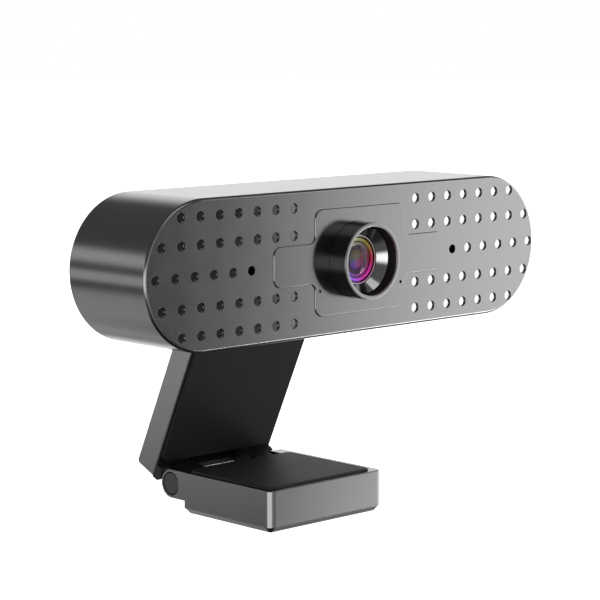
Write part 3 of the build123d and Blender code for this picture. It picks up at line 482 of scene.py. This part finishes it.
def stadium(inset, y, steps=48):
    """The housing's outline, moved in by inset."""
    radius, reach = HEAD_HEIGHT / 2 - inset, (HEAD_LENGTH - HEAD_HEIGHT) / 2
    ring = []
    for side in (1, -1):
        for i in range(steps + 1):
            turn = -side * pi / 2 + pi * i / steps
            ring.append((side * reach + radius * cos(turn), y, HEAD_Z + radius * sin(turn)))
    return ring


def arc_pairs(radius, steps=6):
    """(inset, depth) pairs of a quarter round, from the front face to the side."""
    turns = [pi / 2 * k / steps for k in range(steps + 1)]
    return [(radius * (1 - sin(turn)), radius * (1 - cos(turn))) for turn in turns]


def cross_outline(sizes, grow, y, steps=8):
    """The outline of the face plate, a square and a bar across it, moved out by grow."""
    a, b = sizes.square_width + grow, sizes.square_height + grow
    c, d = (PLATE_HIGH.x - PLATE_LOW.x) / 2 + grow, sizes.bar_height + grow
    # each corner's x and z from the plate's middle, and whether it is an outer one
    path = [(c, -d, 1), (c, d, 1), (a, d, 0), (a, b, 1), (-a, b, 1), (-a, d, 0),
            (-c, d, 1), (-c, -d, 1), (-a, -d, 0), (-a, -b, 1), (a, -b, 1), (a, -d, 0)]
    ring = []
    for k, (x, z, outer) in enumerate(path):
        before, after = path[k - 1], path[(k + 1) % len(path)]
        inward = Vector((x - before[0], z - before[1])).normalized()
        onward = Vector((after[0] - x, after[1] - z)).normalized()
        radius = sizes.outer_corner + grow if outer else sizes.inner_corner - grow
        middle = Vector((x, z)) + radius * (onward - inward)
        for i in range(steps + 1):
            turn = pi / 2 * i / steps
            spot = middle + radius * (inward * sin(turn) - onward * cos(turn))
            ring.append((PLATE_X + spot.x, y, HEAD_Z + spot.y))
    return ring


def rod(name, x, z, radius, front, back, count):
    """A plain round rod along Y, as a cutting shape."""
    return loft(name, [circle(x, z, radius, front, count), circle(x, z, radius, back, count)])


def turned(name, profile, finishes):
    """A ring round the lens axis. Each place of its profile is a radius, a y and a finish."""
    return loft(name, [circle(LENS_X, HEAD_Z, radius, y, 128) for radius, y, _ in profile],
                finishes, closed=True, slots=[slot for _, _, slot in profile])


def join(objects, name):
    """Several meshes as one object."""
    points, faces = [], []
    for made in objects:
        first = len(points)
        points += [tuple(v.co) for v in made.data.vertices]
        faces += [tuple(first + i for i in polygon.vertices) for polygon in made.data.polygons]
    discard(*objects)
    return mesh_object(name, points, faces, [])


def settle(made):
    """Turns an object and its modifiers into a plain mesh, and removes the modifiers."""
    graph = bpy.context.evaluated_depsgraph_get()
    mesh = bpy.data.meshes.new_from_object(made.evaluated_get(graph))
    made.modifiers.clear()
    made.data = mesh
    return made


def discard(*objects):
    """Removes shapes that were only used to make others."""
    for made in objects:
        mesh = made.data
        bpy.data.objects.remove(made)
        bpy.data.meshes.remove(mesh)


def tidy_shading(made):
    """Smooth shading whose flat faces stay flat next to small rounded edges."""
    made.data.shade_smooth()
    made.data.set_sharp_from_angle(angle=SHARP)
    keep = made.modifiers.new("Weighted Normal", "WEIGHTED_NORMAL")
    keep.keep_sharp = True
    keep.weight = 100
    return made


def stand_in(made, body, slot, *nodes):
    """Says what a finished piece rides on and which nodes it stands for. Its slot, the finish, is
    not used.
    """
    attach(made, body)
    if nodes:
        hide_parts(*nodes)
    return made


# ---- geometry nodes ----
def new_tree(name, inputs):
    """A geometry node tree. Gives its graph, its inputs by name and the socket of its result."""
    tree = bpy.data.node_groups.new(name, "GeometryNodeTree")
    tree.interface.new_socket("Geometry", in_out="INPUT", socket_type="NodeSocketGeometry")
    tree.interface.new_socket("Geometry", in_out="OUTPUT", socket_type="NodeSocketGeometry")
    for label, kind in inputs.items():
        tree.interface.new_socket(label, in_out="INPUT", socket_type="NodeSocket" + kind)
    graph = Graph(tree)
    start, end = tree.nodes.new("NodeGroupInput"), tree.nodes.new("NodeGroupOutput")
    given = {socket.name: Value(graph, socket) for socket in start.outputs if socket.name}
    return graph, given, end.inputs[0]


def copies(graph, points, item, rotation=(0.0, 0.0, 0.0)):
    """An object's shape at each point, as real geometry."""
    placed = graph.node("GeometryNodeInstanceOnPoints", None,
                        {"Points": points, "Instance": object_shape(graph, item),
                         "Rotation": rotation})
    return graph.node("GeometryNodeRealizeInstances", None, {"Geometry": placed})


def finish_tree(graph, given, end, shape):
    """Gives the shape its finish, and makes it the tree's result."""
    graph.put(end, graph.node("GeometryNodeSetMaterial", None,
                              {"Geometry": shape, "Material": given["Finish"]}))


def run_tree(made, graph, values):
    """Runs a geometry node tree on an object, and makes the result plain."""
    modifier = made.modifiers.new(graph.tree.name, "NODES")
    modifier.node_group = graph.tree
    for item in graph.tree.interface.items_tree:
        if item.in_out == "INPUT" and item.name in values:
            modifier[item.identifier] = values[item.name]
    made.update_tag()
    return settle(made)


def object_shape(graph, item):
    """The geometry of an object that the tree is given."""
    return graph.node("GeometryNodeObjectInfo", {"transform_space": "ORIGINAL"},
                      {"Object": item}, "Geometry")


def row_points(graph, given, sizes, y):
    """The dimples' places: lines of points from the housing's ends towards the lens."""
    end = HEAD_LENGTH / 2 - sizes.end_column
    outer, inner = sizes.outer_row * HEAD_HEIGHT, sizes.inner_row * HEAD_HEIGHT
    # each row's height, where it starts, how many places it skips first, and how many it has
    rows = [(outer, end, 1, sizes.outer_count), (inner, end, 0, sizes.inner_count),
            (0.0, end + sizes.middle_shift, 0, sizes.middle_count),
            (-inner, end, 0, sizes.inner_count), (-outer, end, 1, sizes.outer_count)]
    lines = []
    for z, start, skip, count in rows:
        for side in (1, -1):
            first = given["Pitch"] * (-side * skip) + (LENS_X + side * start)
            begin = graph.node("ShaderNodeCombineXYZ", None,
                               {"X": first, "Y": y, "Z": HEAD_Z + z})
            step = graph.node("ShaderNodeCombineXYZ", None, {"X": given["Pitch"] * float(-side)})
            lines.append(graph.node("GeometryNodeMeshLine", {"mode": "OFFSET"},
                                    {"Count": count, "Start Location": begin, "Offset": step}))
    return graph.node("GeometryNodeJoinGeometry", None, {"Geometry": lines})


def cut(graph, body, cutter):
    """The body without the cutter's volume."""
    return graph.node("GeometryNodeMeshBoolean", {"operation": "DIFFERENCE", "solver": "EXACT"},
                      {"Mesh 1": body, "Mesh 2": cutter}, "Mesh")


# ---- pieces ----
class WEBCAM_OT_housing(bpy.types.Operator):
    """Makes the pill-shaped housing with its dimples, and the polished floors of the dimples"""
    bl_idname = "webcam.housing"
    bl_label = "Housing"

    def execute(self, context):
        sizes, plate = context.scene.webcam_housing, context.scene.webcam_plate
        colours = context.scene.webcam_colours
        metal = satin_metal("blasted_gunmetal", colours.metal, 0.18)
        body = self.make_shell(sizes, metal)
        pocket_depth = 1.2 * MM
        pocket = loft("pocket", [cross_outline(plate, plate.gap, FACE_Y - PAST),
                                 cross_outline(plate, plate.gap, FACE_Y + pocket_depth)])
        bores = self.make_bores(sizes, plate, context.scene.webcam_lens)
        dimple = self.make_dimple(sizes)

        graph, given, end = new_tree("Dimpled housing", {
            "Dimple": "Object", "Pocket": "Object", "Bores": "Object", "Pitch": "Float",
            "Finish": "Material"})
        dimples = copies(graph, row_points(graph, given, sizes, FACE_Y), given["Dimple"])
        shape = given["Geometry"]
        for cutting in (object_shape(graph, given["Pocket"]), object_shape(graph, given["Bores"]),
                        dimples):
            shape = cut(graph, shape, cutting)
        shape = graph.node("GeometryNodeRealizeInstances", None, {"Geometry": shape})
        finish_tree(graph, given, end, shape)
        run_tree(body, graph, {"Dimple": dimple, "Pocket": pocket, "Bores": bores,
                               "Pitch": sizes.dimple_pitch, "Finish": metal})
        discard(dimple, pocket, bores)
        stand_in(tidy_shading(body), "head", "gunmetal", "head_shell")

        self.make_floors(sizes)
        return {"FINISHED"}

    @staticmethod
    def make_shell(sizes, metal):
        """The pill's outside with its rounded edges, and its inside down to the face."""
        rear_lip = 0.15 * MM
        rings = [stadium(inset, FACE_Y + deep) for inset, deep in arc_pairs(sizes.front_edge)]
        rings += [stadium(inset, BACK_Y - deep)
                  for inset, deep in reversed(arc_pairs(sizes.rear_edge))]
        rings += [stadium(sizes.wall - rear_lip, BACK_Y), stadium(sizes.wall, BACK_Y - rear_lip),
                  stadium(sizes.wall, FACE_Y + sizes.face)]
        return loft("housing", rings, [metal])

    @staticmethod
    def make_bores(sizes, plate, lens):
        """The lens's bore, the rounded microphone holes, and wells behind the pinholes."""
        front, back = FACE_Y - PAST, FACE_Y + BORE_DEPTH
        bores = [rod("bore", LENS_X, HEAD_Z, lens.ring + RING_CLEARANCE, front, back, 96)]
        mic_x = (HEAD_LENGTH / 2 - sizes.end_column + sizes.middle_shift
                 - sizes.middle_count * sizes.dimple_pitch)
        rim, radius = sizes.dimple_rim, sizes.mic_radius
        for side in (1, -1):
            x = LENS_X + side * mic_x
            hole = [circle(x, HEAD_Z, radius + rim, front, 40)]
            hole += [circle(x, HEAD_Z, radius + (rim - inset), FACE_Y + (rim - deep), 40)
                     for inset, deep in reversed(arc_pairs(rim, 4))]
            hole.append(circle(x, HEAD_Z, radius, back, 40))
            bores.append(loft("hole", hole))
            bores.append(rod("well", PLATE_X + side * plate.pinhole_x,
                             HEAD_Z - plate.pinhole_drop, plate.pinhole * 2, FACE_Y, back, 24))
        return join(bores, "bores")

    @staticmethod
    def make_dimple(sizes):
        """What one dimple takes out of the face."""
        rim, radius, above = sizes.dimple_rim, sizes.dimple_radius, 0.5 * MM
        rings = [circle(0, 0, radius + rim, -above, 40), circle(0, 0, radius + rim, 0, 40)]
        for turn in (pi / 8, pi / 4, pi * 3 / 8, pi / 2):
            rings.append(circle(0, 0, radius + rim - rim * sin(turn), rim - rim * cos(turn), 40))
        rings.append(circle(0, 0, radius, sizes.dimple_depth, 40))
        return loft("dimple", rings)

    @staticmethod
    def make_floors(sizes):
        """A thin cup in each dimple, with a polished floor and a wall painted dark as shade."""
        clearance, polished, floor_lift, wall_top = 0.005 * MM, 0.16 * MM, 0.15, 0.42
        mirror = polished_cup("dimple_cup", FACE_Y + sizes.dimple_depth - polished)
        reach, deep = sizes.dimple_radius - clearance, sizes.dimple_depth
        # the cup from the middle of its floor up over its rim and down outside: share of the
        # radius, and height over the dimple's bottom in millimetres
        shape = [(0.05, floor_lift), (0.5, floor_lift), (0.92, floor_lift), (0.945, 0.17),
                 (0.96, 0.24), (0.965, wall_top), (0.985, 0.44), (1.0, wall_top), (1.0, 0.001)]
        cup = loft("cup", [circle(0, 0, part * reach, -lift * MM, 32) for part, lift in shape],
                   [mirror])
        base = mesh_object("dimple_floors", [(LENS_X, FACE_Y + deep, HEAD_Z)], [], [mirror])
        graph, given, end = new_tree("Dimple floors", {
            "Cup": "Object", "Pitch": "Float", "Finish": "Material"})
        points = row_points(graph, given, sizes, FACE_Y + deep)
        finish_tree(graph, given, end, copies(graph, points, given["Cup"]))
        run_tree(base, graph, {"Cup": cup, "Pitch": sizes.dimple_pitch, "Finish": mirror})
        discard(cup)
        base.data.shade_smooth()
        stand_in(base, "head", "gunmetal")


class WEBCAM_OT_face_plate(bpy.types.Operator):
    """Makes the raised cross-shaped plate round the lens, with its two pinholes"""
    bl_idname = "webcam.face_plate"
    bl_label = "Face Plate"

    def execute(self, context):
        sizes, lens = context.scene.webcam_plate, context.scene.webcam_lens
        metal = MADE["blasted_gunmetal"]
        front, back = PLATE_LOW.y, PLATE_HIGH.y
        rings = [cross_outline(sizes, -inset, front + deep)
                 for inset, deep in arc_pairs(sizes.edge, 5)]
        rings.append(cross_outline(sizes, 0.0, back))
        plate = loft("face_plate", rings, [metal])
        cutters = [rod("bore", LENS_X, HEAD_Z, lens.ring + RING_CLEARANCE, front - PAST,
                       back + PAST, 96)]
        cutters += [rod("pinhole", PLATE_X + side * sizes.pinhole_x, HEAD_Z - sizes.pinhole_drop,
                        sizes.pinhole, front - PAST, back + PAST, 24) for side in (1, -1)]
        cutter = join(cutters, "plate_bores")
        modifier = plate.modifiers.new("Bores", "BOOLEAN")
        modifier.operation, modifier.object, modifier.solver = "DIFFERENCE", cutter, "EXACT"
        settle(plate)
        discard(cutter)
        stand_in(tidy_shading(plate), "head", "gunmetal", "centre_plate")
        return {"FINISHED"}


class WEBCAM_OT_focus_ring(bpy.types.Operator):
    """Makes the focus ring, with its polished side and its satin lip"""
    bl_idname = "webcam.focus_ring"
    bl_label = "Focus Ring"

    def execute(self, context):
        sizes, colours = context.scene.webcam_lens, context.scene.webcam_colours
        black = gloss_black("ring_black", colours.ring, 0.16)
        lip = turned_metal("ring_lip", colours.lip, 0.30)
        bore_black = moulded("bore_black", colours.plastic, 0.5)
        front, back = RING_LOW.y, RING_HIGH.y
        edge, outer, bore = sizes.ring_edge, sizes.ring, sizes.bore
        flange, flange_depth = (RING_HIGH.x - RING_LOW.x) / 2, 1.0 * MM
        on_side, on_lip, on_bore = 0, 1, 2
        profile = [(outer - inset, front + deep, on_lip) for inset, deep in arc_pairs(edge, 4)]
        profile[-1] = (*profile[-1][:2], on_side)
        profile += [(outer, back - flange_depth, on_side), (flange, back - flange_depth, on_side),
                    (flange, back, on_side), (bore, back, on_bore),
                    (bore, front + 2 * edge, on_lip)]
        profile += [(bore + inset, front + deep, on_lip)
                    for inset, deep in reversed(arc_pairs(edge, 4))]
        ring = turned("focus_ring_body", profile, [black, lip, bore_black])
        stand_in(tidy_shading(ring), "ring", "focus_ring", "focus_ring")
        return {"FINISHED"}


class WEBCAM_OT_lens(bpy.types.Operator):
    """Makes the lens barrel with its polished cone, and the coated front glass"""
    bl_idname = "webcam.lens"
    bl_label = "Lens"

    def execute(self, context):
        sizes, colours = context.scene.webcam_lens, context.scene.webcam_colours
        self.make_barrel(sizes, colours)
        self.make_stack(sizes, colours)
        self.make_front_glass(sizes)
        return {"FINISHED"}

    @staticmethod
    def make_barrel(sizes, colours):
        """The barrel, whose front opens in a polished cone round the glass."""
        black = gloss_black("barrel_black", colours.ring, 0.22)
        cone = satin_metal("cone_black", (0.45, 0.45, 0.455), 0.12, 5e-7)
        dark, bright = 0, 1
        front, back = BARREL_LOW.y, BARREL_HIGH.y
        head_depth, thread_depth, edge = 4.0 * MM, 1.03 * MM, 0.06 * MM
        outer = (BARREL_HIGH.x - BARREL_LOW.x) / 2
        tube = outer - thread_depth
        glass = sizes.glass + 0.02 * MM
        inner = glass - 0.6 * MM
        seat = front + (sizes.cone - glass)
        profile = [(sizes.cone, front, bright), (glass + 0.12 * MM, seat - 0.12 * MM, dark),
                   (glass, seat - 0.10 * MM, dark), (glass, GLASS_HIGH.y, dark),
                   (inner, GLASS_HIGH.y, dark), (inner, back, dark), (tube, back, dark),
                   (tube, front + head_depth, dark), (outer, front + head_depth, dark),
                   (outer, front + edge, dark), (outer - edge, front, dark)]
        barrel = turned("lens_barrel_body", profile, [black, cone])
        stand_in(tidy_shading(barrel), "lens", "lens_black", "lens_barrel")

    @staticmethod
    def make_stack(sizes, colours):
        """The stepped elements behind the front glass."""
        # its finish paints the coatings' reflections, which glow
        stack = coated_stack("coated_stack", colours, Vector((LENS_X, BARREL_LOW.y, HEAD_Z)))
        reach, seat = sizes.glass, GLASS_LOW.y + sizes.dome
        # from the axis out: share of the glass's radius, and depth behind its seat in millimetres
        shape = [(0.02, 0.60), (0.25, 0.61), (0.46, 0.65), (0.49, 0.70), (0.56, 0.70),
                 (0.59, 0.56), (0.73, 0.44), (0.75, 0.54), (0.76, 0.54), (0.775, 0.34),
                 (0.885, 0.20), (0.90, 0.30), (0.935, 0.28), (0.95, 0.06), (1.0, 0.02)]
        rings = [circle(LENS_X, HEAD_Z, reach * part, seat + deep * MM, 96)
                 for part, deep in shape]
        rings.append(circle(LENS_X, HEAD_Z, reach, GLASS_HIGH.y, 96))
        stand_in(loft("lens_stack", rings, [stack]), "lens", "coated_glass", "front_element")

    @staticmethod
    def make_front_glass(sizes):
        """The bulging front glass, a part of a sphere with a flat back."""
        reach, dome, tip = sizes.glass, sizes.dome, GLASS_LOW.y
        curve = (reach ** 2 + dome ** 2) / (2 * dome)
        rings = [circle(LENS_X, HEAD_Z, reach * part,
                        tip + curve - (curve ** 2 - (reach * part) ** 2) ** 0.5, 96)
                 for part in (0.01, 0.15, 0.3, 0.45, 0.6, 0.72, 0.84, 0.93, 0.99)]
        rings.append(circle(LENS_X, HEAD_Z, reach * 0.99, tip + dome + 0.01 * MM, 96))
        stand_in(loft("front_glass", rings, [coated_dome("coated_dome")]), "lens", "coated_glass")


class WEBCAM_OT_screws(bpy.types.Operator):
    """Makes the screws of the rear cover, the bracket and the foot"""
    bl_idname = "webcam.screws"
    bl_label = "Screws"

    def execute(self, context):
        steel = turned_metal("blackened_steel", (0.09, 0.09, 0.095), 0.32)
        self.place(steel, "cover_screw_heads", "cover_screws", "head", 2, "Y")
        self.place(steel, "bracket_screw_heads", "bracket_screws", "head", 1, "Y")
        self.place(steel, "foot_screw_heads", "foot_screws", "foot", 2, "Z")
        return {"FINISHED"}

    @staticmethod
    def place(steel, name, node, body, rows, axis):
        """Screws at the corners of a CAD node of screws, with their heads at its end."""
        low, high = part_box(node)
        head, shaft, key, point = 1.8 * MM, 0.78 * MM, 0.7 * MM, 0.3 * MM
        long = (high.y - low.y) if axis == "Y" else (high.z - low.z)
        height = (1.1 if axis == "Y" else 1.0) * MM
        rings = [circle(0, 0, shaft * 0.7, -long, 24), circle(0, 0, shaft, -long + point, 24),
                 circle(0, 0, shaft, -height, 24), circle(0, 0, head, -height, 24)]
        rings += [circle(0, 0, head - inset, -down, 24)
                  for inset, down in reversed(arc_pairs(0.3 * MM, 4))]
        # the six-sided recess for the key
        rings += [circle(0, 0, key * 1.08, 0, 24, 6), circle(0, 0, key, -0.06 * MM, 24, 6),
                  circle(0, 0, key, -0.6 * MM, 24, 6), circle(0, 0, 0.1 * MM, -0.7 * MM, 24)]
        screw = loft("screw", rings, [steel])
        middle = (low + high) / 2
        spread = high - low - 2 * head * Vector((1, 1, 1))
        if axis == "Z":
            screw.data.transform(Matrix.Rotation(-pi / 2, 4, "X"))
            middle.z, spread.z = low.z, 0.0
        else:
            middle.y, spread.y = high.y, 0.0
        if rows == 1:
            spread.y = spread.z = 0.0
        base = mesh_object(name, [middle], [], [steel])
        graph, given, end = new_tree("Screw rows", {
            "Screw": "Object", "Middle": "Vector", "Spread": "Vector", "Rows": "Int", "Seed": "Int",
            "Finish": "Material"})
        across = graph.node("ShaderNodeVectorMath", {"operation": "MULTIPLY"},
                            {0: given["Spread"], 1: (1.0, 0.0, 0.0)})
        along = graph.node("ShaderNodeVectorMath", {"operation": "MULTIPLY"},
                           {0: given["Spread"], 1: (0.0, 1.0, 1.0)})
        half = graph.node("ShaderNodeVectorMath", {"operation": "SCALE"},
                          {0: given["Spread"], "Scale": -0.5})
        corner = graph.node("ShaderNodeVectorMath", {"operation": "ADD"},
                            {0: given["Middle"], 1: half})
        row = graph.node("GeometryNodeMeshLine", {"mode": "OFFSET"},
                         {"Count": 2, "Start Location": corner, "Offset": across})
        column = graph.node("GeometryNodeMeshLine", {"mode": "OFFSET"},
                            {"Count": given["Rows"], "Offset": along})
        points = graph.node("GeometryNodeInstanceOnPoints", None,
                            {"Points": column, "Instance": row})
        points = graph.node("GeometryNodeRealizeInstances", None, {"Geometry": points})
        turn = graph.node("FunctionNodeRandomValue", {"data_type": "FLOAT"},
                          {"Max": pi, "Seed": given["Seed"]}, 1)
        spin = graph.node("ShaderNodeCombineXYZ", None, {axis: turn})
        finish_tree(graph, given, end, copies(graph, points, given["Screw"], spin))
        run_tree(base, graph, {"Screw": screw, "Middle": middle, "Spread": spread, "Rows": rows,
                               "Seed": 7, "Finish": steel})
        discard(screw)
        stand_in(tidy_shading(base), body, "black_steel", node)


class WEBCAM_OT_finishes(bpy.types.Operator):
    """Gives every CAD node that stays its finish"""
    bl_idname = "webcam.finishes"
    bl_label = "Finishes"

    def execute(self, context):
        colours = context.scene.webcam_colours
        finishes = {
            "gunmetal": MADE["blasted_gunmetal"],
            "black_steel": MADE["blackened_steel"],
            "dark_cap": satin_metal("dark_gunmetal", colours.cap, 0.34),
            "black_plastic": moulded("moulded_black", colours.plastic, 0.42),
            "lens_black": moulded("spacer_black", (0.01, 0.01, 0.01), 0.6),
            "rubber": moulded("matt_rubber", colours.rubber, 0.55, 7000, 8e-6),
            "brass": turned_metal("turned_brass", (0.72, 0.53, 0.25), 0.25),
            "steel": turned_metal("turned_steel", (0.55, 0.56, 0.57), 0.22),
            "black_metal": satin_metal("painted_metal", (0.05, 0.05, 0.053), 0.42),
            "aluminium": satin_metal("satin_aluminium", (0.7, 0.7, 0.72), 0.25),
            "circuit_board": circuit_board("solder_mask", colours.board),
            "sensor_glass": clear_glass("sensor_cover", (0.20, 0.20, 0.24), 0.05),
            "filter_glass": clear_glass("blue_filter", (0.35, 0.55, 0.62), 0.04),
            "coated_glass": clear_glass("inner_glass", (0.50, 0.45, 0.60), 0.03),
            "clear_plastic": clear_glass("clear_acrylic", (0.85, 0.87, 0.88), 0.12),
        }
        # the arm's finish carries a painted shade on the lip inside the hinge
        arm = arm_metal("arm_gunmetal", colours.metal, 0.18)
        for part in frame["record"]["subparts"]:
            node = frame["nodes"][part["node"]]
            if node.hide_render:
                continue
            for place in node.material_slots:
                finish = finishes[part["material_slot"]]
                place.material = arm if part["node"] == "arm_shell" else finish
        return {"FINISHED"}


class WEBCAM_OT_stage(bpy.types.Operator):
    """Makes the pale floor, the studio's light and the camera"""
    bl_idname = "webcam.stage"
    bl_label = "Stage"

    def execute(self, context):
        context.scene.view_settings.view_transform = "Standard"
        self.floor()
        self.studio(context)
        self.camera(context)
        return {"FINISHED"}

    @staticmethod
    def floor():
        """A pale floor, clear from beneath, that the studio's light replaces in reflections."""
        radius, corners = 3.0, 64
        black, white = (0.0, 0.0, 0.0, 1.0), (1.0, 1.0, 1.0, 1.0)
        made = Finish("floor_paint", roughness=0.9, specular_ior_level=0.0, emission_strength=1.0)
        made.feed("Base Color", made.shades((0.86, 0.86, 0.86), made.noise(3.0), 0.01))
        camera_ray = made.node("ShaderNodeLightPath", output="Is Camera Ray")
        made.feed("Emission Color", made.blend(camera_ray, black, white))
        paint = Value(made, made.shader.outputs[0])
        clear = made.node("ShaderNodeBsdfTransparent")
        beneath = made.node("ShaderNodeNewGeometry", output="Backfacing")
        seen = made.node("ShaderNodeMixShader", None, {0: beneath, 1: paint, 2: clear})
        made.put(made.tree.nodes["Material Output"].inputs["Surface"], seen)
        turns = [2 * pi * i / corners for i in range(corners)]
        outline = [(radius * cos(turn), radius * sin(turn), 0.0) for turn in turns]
        ground = mesh_object("floor", outline, [tuple(range(corners))], [made.material])
        ground.visible_glossy = False

    @staticmethod
    def studio(context):
        """A studio as a shade for each direction: softboxes, strips behind and a pale floor."""
        world = bpy.data.worlds.new("studio")
        context.scene.world = world
        world.use_nodes = True
        graph = Graph(world.node_tree)
        x, y, z = graph.parts(graph.node("ShaderNodeTexCoord", output="Generated"))
        # turn is 0 in front of the face and grows to its right, and rise is 0 at the horizon
        turn = x.math("ARCTAN2", x, y * -1.0) * (180 / pi)
        rise = z.math("ARCSINE", z) * (180 / pi)
        level = rise.step(-34.0, -24.0) * (1.0 - rise.step(16.0, 32.0))
        behind = 1.0 - turn.step(-112.0, -100.0) + turn.step(150.0, 165.0)
        lights = [
            # the long softbox on the right, its rear end, and a weak one in front
            (2.0, turn.step(42.5, 46.8) * (1.0 - turn.step(88.0, 102.0)) * level),
            (0.97, turn.step(88.0, 102.0) * (1.0 - turn.step(143.0, 160.0))
             * rise.band(-3.0, 36.0, 14.0)),
            (0.4, turn.band(2.0, 24.0, 8.0) * level),
            # two strips and the pale floor behind
            (0.80, rise.band(12.0, 6.0, 4.0) * behind),
            (0.72, rise.band(-7.0, 4.6, 2.0) * behind),
            (0.5, rise.band(-31.0, 11.0, 5.0) * behind),
            # a softbox on the left, one overhead, and the small bright one that the glass shows
            (2.0, turn.band(-58.0, 38.0, 8.0) * rise.band(-7.0, 13.0, 7.0)),
            (0.85, rise.band(52.0, 18.0, 5.0) * turn.band(14.0, 24.0, 5.0)),
            (12.0, turn.band(52.5, 4.0, 1.0) * rise.band(-22.0, 4.0, 1.0)),
            # the room, which a flag darkens beside the long softbox
            (0.11, (1.0 - turn.band(40.0, 5.0, 3.0)) * rise.step(-60.0, -42.0)),
        ]
        darkest, on_matt = 0.03, 0.75
        light = darkest
        for strength, share_lit in lights:
            light = light + share_lit * strength
        camera_ray = graph.node("ShaderNodeLightPath", output="Is Camera Ray")
        diffuse_ray = graph.node("ShaderNodeLightPath", output="Is Diffuse Ray")
        light = light * (1.0 - camera_ray - diffuse_ray) + camera_ray + diffuse_ray * on_matt
        back = world.node_tree.nodes["Background"]
        graph.put(back.inputs["Color"], (1.0, 1.0, 1.0, 1.0))
        graph.put(back.inputs["Strength"], light)

    @staticmethod
    def camera(context):
        """A long lens, a little above the head and to its left."""
        turn, rise, tilt = radians(-43.58), radians(7.436), radians(-0.045)
        away, left, down = 461.03 * MM, 11.175 * MM, 8.246 * MM
        target = Vector((0.0, FACE_Y, HEAD_Z))
        back = Vector((sin(turn) * cos(rise), -cos(turn) * cos(rise), sin(rise)))
        right = (-back).cross(Vector((0, 0, 1))).normalized()
        up = right.cross(-back)
        data = bpy.data.cameras.new("camera")
        data.sensor_width, data.lens = 36.0, 135.46
        data.clip_start, data.clip_end = 0.02, 20.0
        camera = bpy.data.objects.new("camera", data)
        context.scene.collection.objects.link(camera)
        basis = Matrix((right, up, back)).transposed().to_4x4()
        spot = target + back * away - right * left - up * down
        camera.matrix_world = Matrix.Translation(spot) @ basis @ Matrix.Rotation(tilt, 4, "Z")
        context.scene.camera = camera


class WEBCAM_PT_pieces(bpy.types.Panel):
    """Lists the webcam's pieces, sizes and colours"""
    bl_idname = "WEBCAM_PT_pieces"
    bl_label = "Webcam"
    bl_space_type = "VIEW_3D"
    bl_region_type = "UI"
    bl_category = "Webcam"

    def draw(self, context):
        for operator in OPERATORS:
            self.layout.operator(operator.bl_idname)
        for name, group in GROUPS.items():
            box = self.layout.box()
            box.label(text=group.__doc__)
            for key in group.__annotations__:
                box.prop(getattr(context.scene, name), key)


GROUPS = {"webcam_housing": HousingSizes, "webcam_plate": PlateSizes, "webcam_lens": LensSizes,
          "webcam_colours": FinishColours}
OPERATORS = [WEBCAM_OT_housing, WEBCAM_OT_face_plate, WEBCAM_OT_focus_ring, WEBCAM_OT_lens,
             WEBCAM_OT_screws, WEBCAM_OT_finishes, WEBCAM_OT_stage]
CLASSES = [*GROUPS.values(), *OPERATORS, WEBCAM_PT_pieces]


def register():
    for item in CLASSES:
        bpy.utils.register_class(item)
    for name, group in GROUPS.items():
        setattr(bpy.types.Scene, name, PointerProperty(type=group))


def unregister():
    for name in GROUPS:
        delattr(bpy.types.Scene, name)
    for item in reversed(CLASSES):
        bpy.utils.unregister_class(item)


def main():
    register()
    for operator in OPERATORS:
        group, name = operator.bl_idname.split(".")
        getattr(getattr(bpy.ops, group), name)()


if __name__ == "__main__":
    main()
